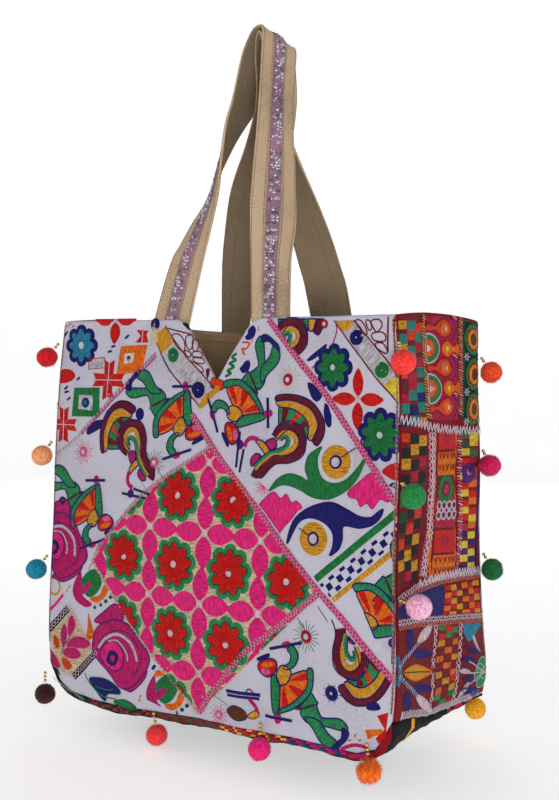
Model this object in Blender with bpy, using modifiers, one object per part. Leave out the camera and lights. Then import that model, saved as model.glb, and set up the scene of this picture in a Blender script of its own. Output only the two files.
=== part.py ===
"""Patchwork handbag: a soft cloth bag with two shoulder straps, shown hanging.

The bag hangs from the point where both straps lie over a hook.  That point,
on the underside of the inner strap, is the origin.  The front faces -Y.
Points are worked out in the bag's own frame (x from its middle, y from its
mid depth, z from its lowest seam line) and then hung below the origin.
"""
import math

import bmesh
import bpy
from mathutils import Vector

for old in list(bpy.data.objects):
    bpy.data.objects.remove(old, do_unlink=True)

# body
BODY_WIDTH = 0.466
BODY_DEPTH = 0.224
RIM_HEIGHT = 0.433
CLOTH = 0.0020
LINING = 0.0012
LINING_INSET = 0.0074
LINING_DROP = 0.0030
SEAM_GAP = 0.0004
SEAM_RISE = 0.044
CORNER_EASE = 0.0022
BASE_LOW = -0.006
BASE_END_RISE = 0.012  # the ends draw up behind the front corners
BASE_RISE_FROM = 0.6
LEFT_SAG = 0.0115  # the front edge hangs lower on the left
BASE_END_ROUND = 0.060
BASE_SIDE_ROUND = 0.013

# V notch in the front and back rim
NOTCH_HALF = 0.047
NOTCH_DEPTH = 0.069

# how far the straps draw the rim in, and how far the rim sinks there
FRONT_PULL = 0.0115
BACK_PULL = 0.050
BACK_SINK = 0.012
GUSSET_ARCH = 0.005

# straps
STRAP_WIDTH = 0.0508
STRAP_THICK = 0.0026
STRAP_TUCK = 0.030
STRAP_INSET = 0.0044
TRIM_WIDTH = 0.016
TRIM_THICK = 0.0010
TRIM_GAP = 0.0006
TRIM_START = 0.0040
STRAP_RISE = 0.3245
STRAP_ROOM = 0.0023
FRONT_LEG = 0.0675
BACK_LEG = 0.0730
BACK_LEG_SHIFT = -0.0100
HANG_X = 0.0105
HANG_Y = 0.0060
LAYER = STRAP_THICK + TRIM_GAP + TRIM_THICK + STRAP_ROOM
INNER_RISE = STRAP_RISE - LAYER
HANG = Vector((HANG_X, HANG_Y, RIM_HEIGHT + INNER_RISE - STRAP_THICK / 2))

# pompoms and beads
POMPOM = 0.0120
LOCK_OUT = 1.10
LOCK_IN = 0.88
BEAD = 0.0020
BEAD_NECK = 0.0007
BEAD_SIDES = 10

# height share, then half-width and depth shares at the front and at the back
SECTIONS = (
    (0.00, 0.960, 1.000, 0.960, 1.070),
    (0.05, 0.985, 1.000, 0.978, 1.060),
    (0.12, 1.008, 0.998, 0.995, 1.010),
    (0.23, 1.012, 0.985, 0.994, 0.935),
    (0.45, 1.000, 0.955, 0.983, 0.878),
    (0.66, 1.000, 0.918, 0.983, 0.865),
    (0.83, 0.990, 0.886, 0.973, 0.835),
    (0.92, 0.976, 0.871, 0.963, 0.865),
    (1.00, 0.960, 0.857, 0.953, 0.915),
)

# share of the half width, share of the seam's rise at the front corners
FRONT_SEAM = ((0.0, 0.136), (0.866, 0.136), (0.95, 0.318), (1.0, 1.0))
BACK_SEAM = ((0.0, 0.136), (0.866, 0.136), (0.95, 0.182), (1.0, 0.364))
# share of the half width, share of the left sag
SAG = ((-1.0, 0.0), (-0.95, 0.45), (-0.866, 0.62), (-0.707, 0.92), (-0.5, 1.0), (0.0, 0.3), (0.5, 0.0))
# share of the depth from front to back, share of the seam's rise
GUSSET_SEAM = (
    (-1.0, 1.0),
    (-0.70, 0.864),
    (-0.35, 0.659),
    (0.0, 0.568),
    (0.35, 0.500),
    (0.70, 0.432),
    (1.0, 0.364),
)

# share of the notch's half width, share of its depth
NOTCH = ((0.0, 1.0), (0.45, 0.55), (0.85, 0.15), (1.0, 0.045), (1.18, 0.0))

# columns across the base and a gusset, beside the notch, and in the notch
EDGE_SHARES = (0.0, 0.259, 0.5, 0.707, 0.866, 0.95, 1.0)
PANEL_SHARES = (0.36, 0.5, 0.707, 0.866, 0.95, 1.0)
PANEL_NOTCH = (0.0, 0.26, 0.52, 0.77, 0.95, 1.1, 1.25)
LINING_SHARES = (0.30, 0.38, 0.50, 0.70, 0.90, 1.0)
LINING_NOTCH = (0.0, 0.33, 0.62, 0.86, 1.06)
LINING_SIDE_SHARES = (0.0, 0.5, 1.0)
ROWS = (0.0, 0.05, 0.14, 0.30, 0.48, 0.65, 0.80, 0.92, 1.0)

# base rings from the seam to the middle: inset share, height share, plan share
BASE_RINGS = (
    (0.00, 1.00, 1.0),
    (0.00, 0.72, 1.0),
    (0.15, 0.34, 1.0),
    (0.45, 0.10, 1.0),
    (1.00, 0.00, 1.0),
    (1.00, 0.00, 0.5),
    (1.00, 0.00, 0.0),
)
# lining rows from the rim to the floor: kind, row up the wall or base ring
LINING_ROWS = (
    ("wall", 1.00),
    ("wall", 0.90),
    ("wall", 0.68),
    ("wall", 0.38),
    ("wall", 0.12),
    ("base", 0.0),
    ("base", 1.7),
    ("base", 2.8),
    ("base", 4.0),
)

# straps, from the left leg over the fold to the right leg, from the hang point:
# share of the leg reach, share of the half depth, share of the strap's rise,
# turn of the width direction in degrees, its lift as a share of its length
FRONT_STRAP = (
    (-1.015, -0.661, 0.203, -4, 0.02),
    (-0.844, -0.536, 0.351, -23, 0.10),
    (-0.748, -0.469, 0.427, -35, 0.16),
    (-0.674, -0.388, 0.539, -48, 0.24),
    (-0.552, -0.321, 0.653, -63, 0.32),
    (-0.450, -0.246, 0.729, -73, 0.36),
    (-0.363, -0.165, 0.804, -88, 0.38),
    (-0.274, -0.103, 0.897, -97, 0.39),
    (-0.185, -0.031, 0.961, -106, 0.39),
    (-0.104, -0.004, 0.991, -110, 0.39),
    (0.000, 0.000, 1.000, -110, 0.39),
    (0.096, -0.022, 0.991, -110, 0.37),
    (0.148, -0.054, 0.958, -109, 0.34),
    (0.185, -0.107, 0.884, -107, 0.30),
    (0.233, -0.173, 0.786, -105, 0.26),
    (0.356, -0.299, 0.632, -111, 0.20),
    (0.422, -0.362, 0.555, -119, 0.16),
    (0.541, -0.487, 0.405, -134, 0.10),
    (0.607, -0.549, 0.331, -155, 0.06),
    (0.704, -0.665, 0.190, -177, 0.02),
)
BACK_STRAP = (
    (-1.021, 0.330, 0.236, -171, 0.02),
    (-0.733, 0.241, 0.469, -146, 0.06),
    (-0.459, 0.205, 0.619, -118, 0.08),
    (-0.260, 0.152, 0.744, -101, 0.12),
    (-0.158, 0.094, 0.833, -101, 0.20),
    (-0.114, 0.040, 0.921, -106, 0.30),
    (-0.068, 0.016, 0.978, -110, 0.36),
    (0.000, 0.000, 1.000, -110, 0.38),
    (0.062, -0.009, 0.978, -108, 0.34),
    (0.078, 0.027, 0.903, -102, 0.24),
    (0.075, 0.094, 0.802, -90, 0.12),
    (0.110, 0.170, 0.645, -55, 0.00),
    (0.178, 0.224, 0.506, -20, -0.08),
    (0.411, 0.315, 0.299, 14, -0.10),
    (0.603, 0.379, 0.132, 18, -0.06),
)
STRAP_STEPS = 2

# pompoms on the upright edges: name, edge, share of the rim's height,
# then as shares of the pompom's radius its reach and the strand's rise,
# its direction outward in degrees, colour
POMPOMS = (
    ("front_left_1", "front_left", 0.905, 1.25, 1.42, -135, (0.80, 0.06, 0.05)),
    ("front_left_2", "front_left", 0.635, 1.24, 1.42, -112, (0.90, 0.42, 0.26)),
    ("front_left_3", "front_left", 0.319, 1.29, 1.42, -138, (0.05, 0.42, 0.40)),
    ("front_right_1", "front_right", 0.898, 1.25, 1.67, -45, (0.92, 0.20, 0.20)),
    ("front_right_2", "front_right", 0.605, 1.42, 1.00, -8, (0.10, 0.45, 0.12)),
    ("front_right_3", "front_right", 0.365, 2.08, 0.33, -3, (0.90, 0.60, 0.66)),
    ("back_right_1", "back_right", 0.873, 1.25, 1.42, 45, (0.90, 0.22, 0.05)),
    ("back_right_2", "back_right", 0.637, 1.25, 1.42, -28, (0.66, 0.03, 0.08)),
    ("back_right_3", "back_right", 0.370, 1.25, 1.42, -15, (0.03, 0.22, 0.10)),
    ("back_left_1", "back_left", 0.905, 1.25, 1.42, 135, (0.80, 0.06, 0.05)),
    ("back_left_2", "back_left", 0.633, 1.25, 1.42, 135, (0.90, 0.42, 0.26)),
    ("back_left_3", "back_left", 0.319, 1.25, 1.42, 135, (0.05, 0.42, 0.40)),
)
# pompoms under the body: name, side, share of the half width of the strand's
# top and of the pompom, then as shares of the pompom's radius the height and
# the standing out of the strand's top and of the pompom, colour
LOW_POMPOMS = (
    ("front_left_corner", "front", -1.006, -1.0, 1.38, 0.38, -0.88, 0.50, (0.28, 0.04, 0.07)),
    ("front_right_corner", "front", 0.893, 0.912, 1.71, 0.38, -0.42, 0.63, (0.95, 0.42, 0.05)),
    ("back_right_corner", "back", 0.936, 0.910, 1.08, 0.23, -0.83, 0.73, (0.93, 0.62, 0.10)),
    ("back_left_corner", "back", -0.936, -0.910, 1.08, 0.23, -0.83, 0.73, (0.93, 0.62, 0.10)),
    ("bottom_front_left", "front", -0.275, -0.275, -0.08, 0.30, -2.38, -0.15, (0.88, 0.14, 0.12)),
    ("bottom_front_right", "front", 0.352, 0.352, 1.33, 0.40, -0.96, 0.52, (0.90, 0.10, 0.45)),
    ("bottom_back_left", "back", -0.309, -0.309, 0.17, 0.31, -2.08, 0.02, (0.88, 0.14, 0.12)),
    ("bottom_back_right", "back", 0.309, 0.309, 0.17, 0.31, -2.08, 0.02, (0.90, 0.10, 0.45)),
)

bag = bpy.data.collections.new("patchwork_handbag")
bpy.context.scene.collection.children.link(bag)


def material(name, colour, roughness=0.9, metallic=0.0):
    """A plain surface with one colour."""
    made = bpy.data.materials.new(name)
    made.use_nodes = True
    shader = made.node_tree.nodes["Principled BSDF"]
    shader.inputs["Base Color"].default_value = (*colour, 1.0)
    shader.inputs["Roughness"].default_value = roughness
    shader.inputs["Metallic"].default_value = metallic
    return made


def place(name, mesh, colour, roughness=0.9, metallic=0.0):
    """A mesh as a named object of the bag, with a material of its own."""
    made = bpy.data.objects.new(name, mesh)
    made.data.materials.append(material(name, colour, roughness, metallic))
    bag.objects.link(made)
    return made


def clamp(value, low, high):
    return max(low, min(high, value))


def look_up(table, share, column=1):
    """Straight reading between the rows of a table."""
    share = clamp(share, table[0][0], table[-1][0])
    for low, high in zip(table, table[1:]):
        if share <= high[0]:
            part = (share - low[0]) / (high[0] - low[0])
            return low[column] + (high[column] - low[column]) * part
    return table[-1][column]


def curve_value(before, start, end, after, part):
    """One value on the smooth curve through four neighbours."""
    square = part * part
    cube = square * part
    return 0.5 * (2 * start + (end - before) * part
                  + (2 * before - 5 * start + 4 * end - after) * square
                  + (3 * start - before - 3 * end + after) * cube)


def smooth_rows(rows, steps):
    """The rows of a table with smooth rows added between them."""
    made = []
    for i in range(len(rows) - 1):
        near = (rows[max(i - 1, 0)], rows[i], rows[i + 1], rows[min(i + 2, len(rows) - 1)])
        for k in range(steps):
            part = k / steps
            made.append(tuple(curve_value(*column, part) for column in zip(*near)))
    made.append(rows[-1])
    return made


def mirrored(shares):
    """Shares from -1 to 1 from the shares of one half."""
    return tuple(-share for share in reversed(shares[1:])) + tuple(shares)


def half_width(z, side="front"):
    column = 3 if side == "back" else 1
    return BODY_WIDTH / 2 * look_up(SMOOTH_SECTIONS, z / RIM_HEIGHT, column)


def half_depth(z, side="front"):
    column = 4 if side == "back" else 2
    return BODY_DEPTH / 2 * look_up(SMOOTH_SECTIONS, z / RIM_HEIGHT, column)


def rim_draw(side, share, z):
    """How far the straps draw a panel inward here."""
    high = clamp((z / RIM_HEIGHT - 0.35) / 0.65, 0.0, 1.0)
    high = high * high * (3 - 2 * high)
    across = (1 - share * share) ** 1.5
    pull = FRONT_PULL if side == "front" else BACK_PULL
    return pull * across * high


def body_point(side, share, z, inset=0.0):
    """A point of the body's outer surface, or of one this far inside it."""
    if side in ("front", "back"):
        sign = -1 if side == "front" else 1
        width = half_width(z, side) - inset
        depth = half_depth(z, side) - inset
        return Vector((share * width, sign * (depth - rim_draw(side, share, z)), z))
    sign = 1 if side == "right" else -1
    near = body_point("front", 1.0, z, inset)
    far = body_point("back", 1.0, z, inset)
    made = near.lerp(far, (share + 1) / 2)
    return Vector((sign * made.x, made.y, z))


def rim_height(side, share):
    """Height of the rim: a V notch in the front and back, an arch at the sides."""
    if side in ("front", "back"):
        x = abs(share) * half_width(RIM_HEIGHT, side)
        z = RIM_HEIGHT - NOTCH_DEPTH * look_up(NOTCH, x / NOTCH_HALF)
        if side == "back":
            z -= BACK_SINK * (1 - share * share) ** 0.8
        return z
    return RIM_HEIGHT + GUSSET_ARCH * (1 - share * share)


def seam_height(side, share):
    """Height of the seam between the base and a panel or gusset."""
    if side == "front":
        return SEAM_RISE * look_up(FRONT_SEAM, abs(share)) - LEFT_SAG * look_up(SAG, share)
    if side == "back":
        return SEAM_RISE * look_up(BACK_SEAM, abs(share))
    return SEAM_RISE * look_up(GUSSET_SEAM, share)


def columns(notch, beside, side):
    """Columns across a panel: its notch's own, then those beside it."""
    near = [share * NOTCH_HALF / half_width(RIM_HEIGHT, side) for share in notch]
    return mirrored(near + [share for share in beside if share > near[-1] + 0.02])


def wall_point(side, share, row, inset=0.0, drop=0.0):
    """A point on a wall, its row running from the seam to the rim."""
    low = seam_height(side, share)
    high = rim_height(side, share) - drop
    return body_point(side, share, low + (high - low) * row, inset)


def base_point(side, share, ring, inset=0.0):
    """A point on the base, its ring running from the seam to the middle."""
    ring_low = int(min(math.floor(ring), len(BASE_RINGS) - 2))
    part = ring - ring_low
    near = zip(BASE_RINGS[ring_low], BASE_RINGS[ring_low + 1])
    inward, height, plan = (a + (b - a) * part for a, b in near)
    ease = CORNER_EASE * clamp((abs(share) - 0.866) / 0.134, 0.0, 1.0)
    top = seam_height(side, share) - SEAM_GAP * 2 - ease
    edge = body_point(side, share, top, inset)
    x = edge.x * (1 - inward * BASE_END_ROUND * 2 / BODY_WIDTH) * plan
    y = edge.y * (1 - inward * BASE_SIDE_ROUND * 2 / BODY_DEPTH) * plan
    behind = clamp((1 + y * 2 / BODY_DEPTH) / BASE_RISE_FROM, 0.0, 1.0)
    sag = LEFT_SAG * look_up(SAG, x * 2 / BODY_WIDTH) * clamp(1 - y * 2 / BODY_DEPTH, 0.0, 1.0)
    low = BASE_LOW + inset + BASE_END_RISE * behind * abs(x * 2 / BODY_WIDTH) ** 4 - sag
    return Vector((x, y, low + (top - low) * height))


def grid_mesh(name, columns, rows, point):
    """A grid whose points are placed by their column and row."""
    wide = len(columns) - 1
    high = len(rows) - 1
    bm = bmesh.new()
    bmesh.ops.create_grid(bm, x_segments=wide, y_segments=high, size=1.0)
    for vert in bm.verts:
        i = round((vert.co.x + 1) / 2 * wide)
        j = round((vert.co.y + 1) / 2 * high)
        vert.co = point(columns[i], rows[j]) - HANG
    mesh = bpy.data.meshes.new(name)
    bm.to_mesh(mesh)
    bm.free()
    return mesh


def tray_mesh(name, shares, ring_point):
    """A square grid folded into rings around an upright loop."""
    rings = len(shares) - 1
    bm = bmesh.new()
    bmesh.ops.create_grid(bm, x_segments=2 * rings, y_segments=2 * rings, size=1.0)
    for vert in bm.verts:
        i = round(vert.co.x * rings)
        j = round(vert.co.y * rings)
        ring = max(abs(i), abs(j))
        if ring == 0:
            vert.co = ring_point("front", 0.0, rings) - HANG
            continue
        if abs(i) > abs(j) or (abs(i) == abs(j) and i * j < 0):
            side = "right" if i > 0 else "left"
            along = j
        else:
            side = "back" if j > 0 else "front"
            along = i
        place_on = abs(along) / ring * rings
        lower = min(int(place_on), rings - 1)
        part = place_on - lower
        share = shares[lower] + (shares[lower + 1] - shares[lower]) * part
        vert.co = ring_point(side, math.copysign(share, along), rings - ring) - HANG
    bmesh.ops.reverse_faces(bm, faces=bm.faces[:])
    mesh = bpy.data.meshes.new(name)
    bm.to_mesh(mesh)
    bm.free()
    return mesh


def tub_mesh(name, columns, rows, point):
    """A grid wrapped into an upright tub whose last row is closed by a floor."""
    wide = len(columns)
    high = len(rows) - 1
    bm = bmesh.new()
    bmesh.ops.create_grid(bm, x_segments=wide, y_segments=high, size=1.0)
    floor = []
    for vert in bm.verts:
        i = round((vert.co.x + 1) / 2 * wide) % wide
        j = high - round((vert.co.y + 1) / 2 * high)
        vert.co = point(*columns[i], rows[j]) - HANG
        if j == high:
            floor.append(vert)
    rim = set(floor)
    bmesh.ops.remove_doubles(bm, verts=bm.verts[:], dist=0.00001)
    ring = [edge for edge in bm.edges if all(vert in rim for vert in edge.verts)]
    bmesh.ops.contextual_create(bm, geom=ring)
    bmesh.ops.recalc_face_normals(bm, faces=bm.faces[:])
    mesh = bpy.data.meshes.new(name)
    bm.to_mesh(mesh)
    bm.free()
    return mesh


def thicken(made, thickness, offset=-1.0):
    solid = made.modifiers.new("cloth", "SOLIDIFY")
    solid.thickness = thickness
    solid.offset = offset
    solid.use_even_offset = True
    made.data.shade_smooth()
    made.data.set_sharp_from_angle(angle=math.radians(35))


def panel(name, side, colour):
    """One outer panel: the gussets end just inside the front and back."""
    if side in ("left", "right"):
        across = mirrored(EDGE_SHARES)
    else:
        across = columns(PANEL_NOTCH, PANEL_SHARES, side)
    if side in ("back", "left"):
        across = across[::-1]

    def point(share, row):
        made = wall_point(side, share, row)
        if side in ("left", "right"):
            made.y -= share * (CLOTH + SEAM_GAP * 2)
        return made

    thicken(place(name, grid_mesh(name, across, ROWS, point), colour), CLOTH)


ACROSS = (-1.0, -0.33, 0.33, 1.0)


def strap_rows(side, table):
    """Rows of points across a strap, from tucked end to tucked end."""
    if side == "front":
        legs = ((-FRONT_LEG, 0.162), (FRONT_LEG, -0.165))
    else:
        legs = ((BACK_LEG_SHIFT - BACK_LEG, 0.20), (BACK_LEG_SHIFT + BACK_LEG, -0.26))
    half = STRAP_WIDTH / 2
    ends = []
    for x, lean in legs:
        rim = rim_height(side, x / half_width(RIM_HEIGHT, side))
        leg = []
        for below in (STRAP_TUCK, STRAP_TUCK / 2, 0.0):
            z = rim - below
            row = []
            for across in ACROSS:
                width = half_width(z, side) - STRAP_INSET
                share = (x - lean * below + across * half) / width
                row.append(body_point(side, share, z, STRAP_INSET))
            leg.append(row)
        ends.append(leg)
    reach = FRONT_LEG if side == "front" else BACK_LEG
    rise = STRAP_RISE if side == "front" else INNER_RISE
    rows = []
    for out, deep, high, turn, lift in smooth_rows(table, STRAP_STEPS):
        x = HANG_X + out * reach
        y = HANG_Y + deep * BODY_DEPTH / 2
        z = RIM_HEIGHT + high * rise
        flat = math.sqrt(1 - lift * lift)
        angle = math.radians(turn)
        width = Vector((flat * math.cos(angle), flat * math.sin(angle), lift))
        rows.append([Vector((x, y, z)) + width * (across * half) for across in ACROSS])
    first = [row if side == "front" else row[::-1] for row in ends[0]]
    last = [row[::-1] if side == "front" else row for row in reversed(ends[1])]
    return first + rows + last


def strap(name, side, table, colour, trim_name, trim_colour):
    """A strap and the ribbon trim along the middle of its outer face."""
    rows = strap_rows(side, table)
    count = len(rows)
    middles = [(row[0] + row[-1]) / 2 for row in rows]
    widths = [(row[-1] - row[0]).normalized() for row in rows]
    mesh = grid_mesh(name, range(len(ACROSS)), range(count), lambda i, k: rows[k][i])
    thicken(place(name, mesh, colour), STRAP_THICK, 0.0)
    away = STRAP_THICK / 2 + TRIM_GAP + TRIM_THICK / 2

    def trim_point(across, k):
        ahead = middles[min(k + 1, count - 1)] - middles[max(k - 1, 0)]
        face = widths[k].cross(ahead).normalized()
        middle = middles[k]
        if k in (2, count - 3):
            beyond = middles[3 if k == 2 else count - 4]
            middle = middle + (beyond - middle).normalized() * TRIM_START
        return middle + face * away + widths[k] * (across * TRIM_WIDTH / 2)

    mesh = grid_mesh(trim_name, (-1.0, 1.0), range(2, count - 2), trim_point)
    thicken(place(trim_name, mesh, trim_colour, 0.35, 0.3), TRIM_THICK, 0.0)


def pompom(name, middle, colour):
    """A ball of yarn locks: twelve locks stand out from one round head."""
    bm = bmesh.new()
    bmesh.ops.create_icosphere(bm, subdivisions=2, radius=POMPOM)
    for vert in bm.verts:
        lock = len(vert.link_edges) == 5
        vert.co = vert.co * (LOCK_OUT if lock else LOCK_IN)
    mesh = bpy.data.meshes.new("pompom_" + name)
    bm.to_mesh(mesh)
    bm.free()
    made = place("pompom_" + name, mesh, colour)
    made.location = middle - HANG


def bead_strand(name, top, middle):
    """Three round beads in one turned body, from the seam to the pompom."""
    away = (top - middle).normalized()
    end = middle + away * (POMPOM * LOCK_OUT + SEAM_GAP)
    length = (top - end).length
    count = 3 if length > 0.0095 else 2
    step = length / count
    profile = [(0.0, length)]
    for k in range(count):
        high = length - step * k
        if k:
            profile.append((BEAD_NECK, high))
        profile.append((BEAD, high - step * 0.28))
        profile.append((BEAD, high - step * 0.72))
    profile.append((0.0, 0.0))
    mesh = bpy.data.meshes.new("beads_" + name)
    points = [(r, 0.0, z) for r, z in profile]
    edges = [(k, k + 1) for k in range(len(points) - 1)]
    mesh.from_pydata(points, edges, [])
    made = place("beads_" + name, mesh, (0.72, 0.52, 0.22), 0.3, 0.9)
    made.location = end - HANG
    made.rotation_mode = "QUATERNION"
    made.rotation_quaternion = Vector((0, 0, 1)).rotation_difference(away)
    screw = made.modifiers.new("turn", "SCREW")
    screw.steps = BEAD_SIDES
    screw.render_steps = BEAD_SIDES
    screw.use_merge_vertices = True
    screw.merge_threshold = 0.00005
    screw.use_smooth_shade = True


SMOOTH_SECTIONS = smooth_rows(SECTIONS, 4)

panel("front_panel", "front", (0.78, 0.72, 0.70))
panel("back_panel", "back", (0.74, 0.68, 0.62))
panel("right_gusset", "right", (0.60, 0.10, 0.10))
panel("left_gusset", "left", (0.60, 0.10, 0.10))

base = place("base_panel", tray_mesh("base_panel", EDGE_SHARES, base_point), (0.10, 0.08, 0.10))
thicken(base, CLOTH)


def lining_point(side, share, row):
    kind, value = row
    if kind == "wall":
        return wall_point(side, share, value, LINING_INSET, LINING_DROP)
    return base_point(side, share, value, LINING_INSET)


around = []
for side in ("front", "right", "back", "left"):
    if side in ("left", "right"):
        across = mirrored(LINING_SIDE_SHARES)
    else:
        across = columns(LINING_NOTCH, LINING_SHARES, side)
    if side in ("back", "left"):
        across = across[::-1]
    around += [(side, share) for share in across[:-1]]
lining = place("lining", tub_mesh("lining", around, LINING_ROWS, lining_point), (0.42, 0.33, 0.22))
thicken(lining, LINING)

strap("strap_front", "front", FRONT_STRAP, (0.60, 0.42, 0.26), "trim_front", (0.40, 0.25, 0.32))
strap("strap_back", "back", BACK_STRAP, (0.60, 0.42, 0.26), "trim_back", (0.40, 0.25, 0.32))

for name, edge, height, reach, rise, turn, colour in POMPOMS:
    side = edge.split("_")[0]
    share = 1.0 if edge.endswith("right") else -1.0
    level = height * RIM_HEIGHT
    angle = math.radians(turn)
    outward = Vector((math.cos(angle), math.sin(angle), 0.0))
    middle = body_point(side, share, level) + outward * (reach * POMPOM)
    start = body_point(side, share, level + rise * POMPOM) + outward * (BEAD + SEAM_GAP * 2)
    pompom(name, middle, colour)
    bead_strand(name, start, middle)

for name, side, top_x, x, top_z, top_out, z, out, colour in LOW_POMPOMS:
    sign = -1 if side == "front" else 1
    depth = half_depth(0.0, side)
    top_y = sign * (depth + top_out * POMPOM)
    start = Vector((top_x * BODY_WIDTH / 2, top_y, top_z * POMPOM))
    middle = Vector((x * BODY_WIDTH / 2, sign * (depth + out * POMPOM), z * POMPOM))
    pompom(name, middle, colour)
    bead_strand(name, start, middle)
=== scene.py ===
"""Looks for the patchwork handbag: embroidered cloth, canvas straps, tufts and beads.

Lengths are in metres, in the hung frame.  Needlework is charted in millimetres
on its flat panel (across,up), then laid on the panel's curved surface.
"""
import functools
import json
import math
import random

import bmesh
import bpy
import numpy as np
from mathutils import Matrix, Vector
from mathutils.geometry import delaunay_2d_cdt


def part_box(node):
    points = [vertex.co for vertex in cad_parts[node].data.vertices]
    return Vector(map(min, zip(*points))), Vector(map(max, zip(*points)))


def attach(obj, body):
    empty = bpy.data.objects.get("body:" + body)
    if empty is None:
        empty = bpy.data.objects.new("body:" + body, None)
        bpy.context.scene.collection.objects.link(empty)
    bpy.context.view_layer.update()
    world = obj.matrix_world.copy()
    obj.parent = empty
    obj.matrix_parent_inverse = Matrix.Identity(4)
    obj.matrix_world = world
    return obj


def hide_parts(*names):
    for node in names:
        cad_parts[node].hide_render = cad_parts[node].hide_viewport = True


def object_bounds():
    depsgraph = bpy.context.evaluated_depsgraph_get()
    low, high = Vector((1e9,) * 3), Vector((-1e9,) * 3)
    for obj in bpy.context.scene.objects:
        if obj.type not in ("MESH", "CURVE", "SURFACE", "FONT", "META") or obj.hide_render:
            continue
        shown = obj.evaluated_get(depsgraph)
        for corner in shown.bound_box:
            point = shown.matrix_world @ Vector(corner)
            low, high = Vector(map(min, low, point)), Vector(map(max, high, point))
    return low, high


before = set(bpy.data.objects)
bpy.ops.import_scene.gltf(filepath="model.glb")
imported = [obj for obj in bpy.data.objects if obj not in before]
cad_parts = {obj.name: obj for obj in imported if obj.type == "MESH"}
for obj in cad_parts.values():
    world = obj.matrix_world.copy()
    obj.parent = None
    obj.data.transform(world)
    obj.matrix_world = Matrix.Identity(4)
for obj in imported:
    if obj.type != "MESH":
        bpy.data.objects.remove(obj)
cad_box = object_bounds()
random.seed(7)

# body, as in the frame
BODY_WIDTH, BODY_DEPTH, RIM_HEIGHT = 0.466, 0.224, 0.433
LINING_INSET, LINING_DROP = 0.0074, 0.0030
SEAM_RISE = 0.044
BASE_LOW, BASE_END_RISE, BASE_RISE_FROM = -0.006, 0.012, 0.6
BASE_END_ROUND, BASE_SIDE_ROUND = 0.060, 0.013
LEFT_SAG = 0.0115
NOTCH_HALF, NOTCH_DEPTH = 0.047, 0.069
FRONT_PULL, BACK_PULL, BACK_SINK = 0.0115, 0.050, 0.012
GUSSET_ARCH = 0.005
CORNER_ROUND = 0.005
CORNER_CUT = CORNER_ROUND * 0.293
STRAP_WIDTH, STRAP_THICK, STRAP_TUCK, STRAP_INSET = 0.0508, 0.0026, 0.030, 0.0044
STRAP_RISE, INNER_RISE = 0.3245, 0.3180
FRONT_LEG, BACK_LEG, BACK_LEG_SHIFT = 0.0675, 0.0730, -0.0100
TRIM_WIDTH = 0.0160
HANG = np.array((0.0105, 0.0060, 0.7497))
POMPOM, BEAD = 0.0120, 0.0020
ROUND = ("front", "right", "back", "left")
BROAD = ("front", "back")

# share of height, then half width and half depth in front, and both at the back
SECTIONS = (
    (0.00, 0.960, 1.000, 0.960, 1.070), (0.05, 0.985, 1.000, 0.978, 1.060),
    (0.12, 1.008, 0.998, 0.995, 1.010), (0.23, 1.012, 0.985, 0.994, 0.935),
    (0.45, 1.000, 0.955, 0.983, 0.878), (0.66, 1.000, 0.918, 0.983, 0.865),
    (0.83, 0.990, 0.886, 0.973, 0.835), (0.92, 0.976, 0.871, 0.963, 0.865),
    (1.00, 0.960, 0.857, 0.953, 0.915),
)
FRONT_SEAM = ((0.0, 0.136), (0.866, 0.136), (0.95, 0.318), (1.0, 1.0))
BACK_SEAM = ((0.0, 0.136), (0.866, 0.136), (0.95, 0.182), (1.0, 0.364))
GUSSET_SEAM = ((-1.0, 1.0), (-0.70, 0.864), (-0.35, 0.659), (0.0, 0.568),
               (0.35, 0.500), (0.70, 0.432), (1.0, 0.364))
SAG = ((-1.0, 0.0), (-0.95, 0.45), (-0.866, 0.62), (-0.707, 0.92), (-0.5, 1.0), (0.0, 0.3),
       (0.5, 0.0))
NOTCH = ((0.0, 1.0), (0.45, 0.55), (0.85, 0.15), (1.0, 0.045), (1.18, 0.0))
BASE_RINGS = np.array(((0.00, 1.00), (0.00, 0.72), (0.15, 0.34), (0.45, 0.10), (1.00, 0.00)))

# thread and cloth colours
COLOURS = {
    "white": (0.475, 0.455, 0.53), "pale": (0.47, 0.44, 0.47), "cream": (0.58, 0.45, 0.29),
    "pink": (0.84, 0.014, 0.18), "magenta": (0.46, 0.008, 0.12), "rosepink": (0.7, 0.1, 0.26),
    "pearl": (0.66, 0.46, 0.52), "red": (0.55, 0.006, 0.004), "darkred": (0.16, 0.0032, 0.0064),
    "maroon": (0.128, 0.0048, 0.016), "crimson": (0.4, 0.004, 0.035),
    "orange": (0.78, 0.13, 0.006), "redorange": (0.62, 0.04, 0.005), "ochre": (0.6, 0.27, 0.015),
    "yellow": (0.74, 0.5, 0.03), "green": (0.0096, 0.16, 0.04), "leaf": (0.02, 0.22, 0.075),
    "darkgreen": (0.0032, 0.056, 0.0224), "teal": (0.02, 0.2, 0.33), "aqua": (0.008, 0.192, 0.152),
    "navy": (0.008, 0.006, 0.12), "purple": (0.072, 0.008, 0.144), "brown": (0.096, 0.028, 0.008),
    "black": (0.006, 0.005, 0.006), "stitch": (0.66, 0.52, 0.6), "salmon": (0.62, 0.16, 0.12),
    "tan": (0.34, 0.22, 0.12), "canvas": (0.45, 0.325, 0.21), "lining": (0.31, 0.205, 0.12),
}
# the colour letters of the pieced rows
LETTERS = {"a": "aqua", "b": "brown", "c": "crimson", "d": "darkgreen", "e": "red", "g": "green",
           "k": "black", "l": "leaf", "m": "maroon", "n": "navy", "o": "ochre", "O": "orange",
           "p": "purple", "r": "redorange", "x": "darkred", "y": "yellow"}


def outlines(text):
    """Charted outlines: points are across,up in mm, and bars part the outlines."""
    return [np.array([p.split(",") for p in shape.split()], float) for shape in text.split("|")]


def outline(text):
    return outlines(text)[0]


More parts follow.
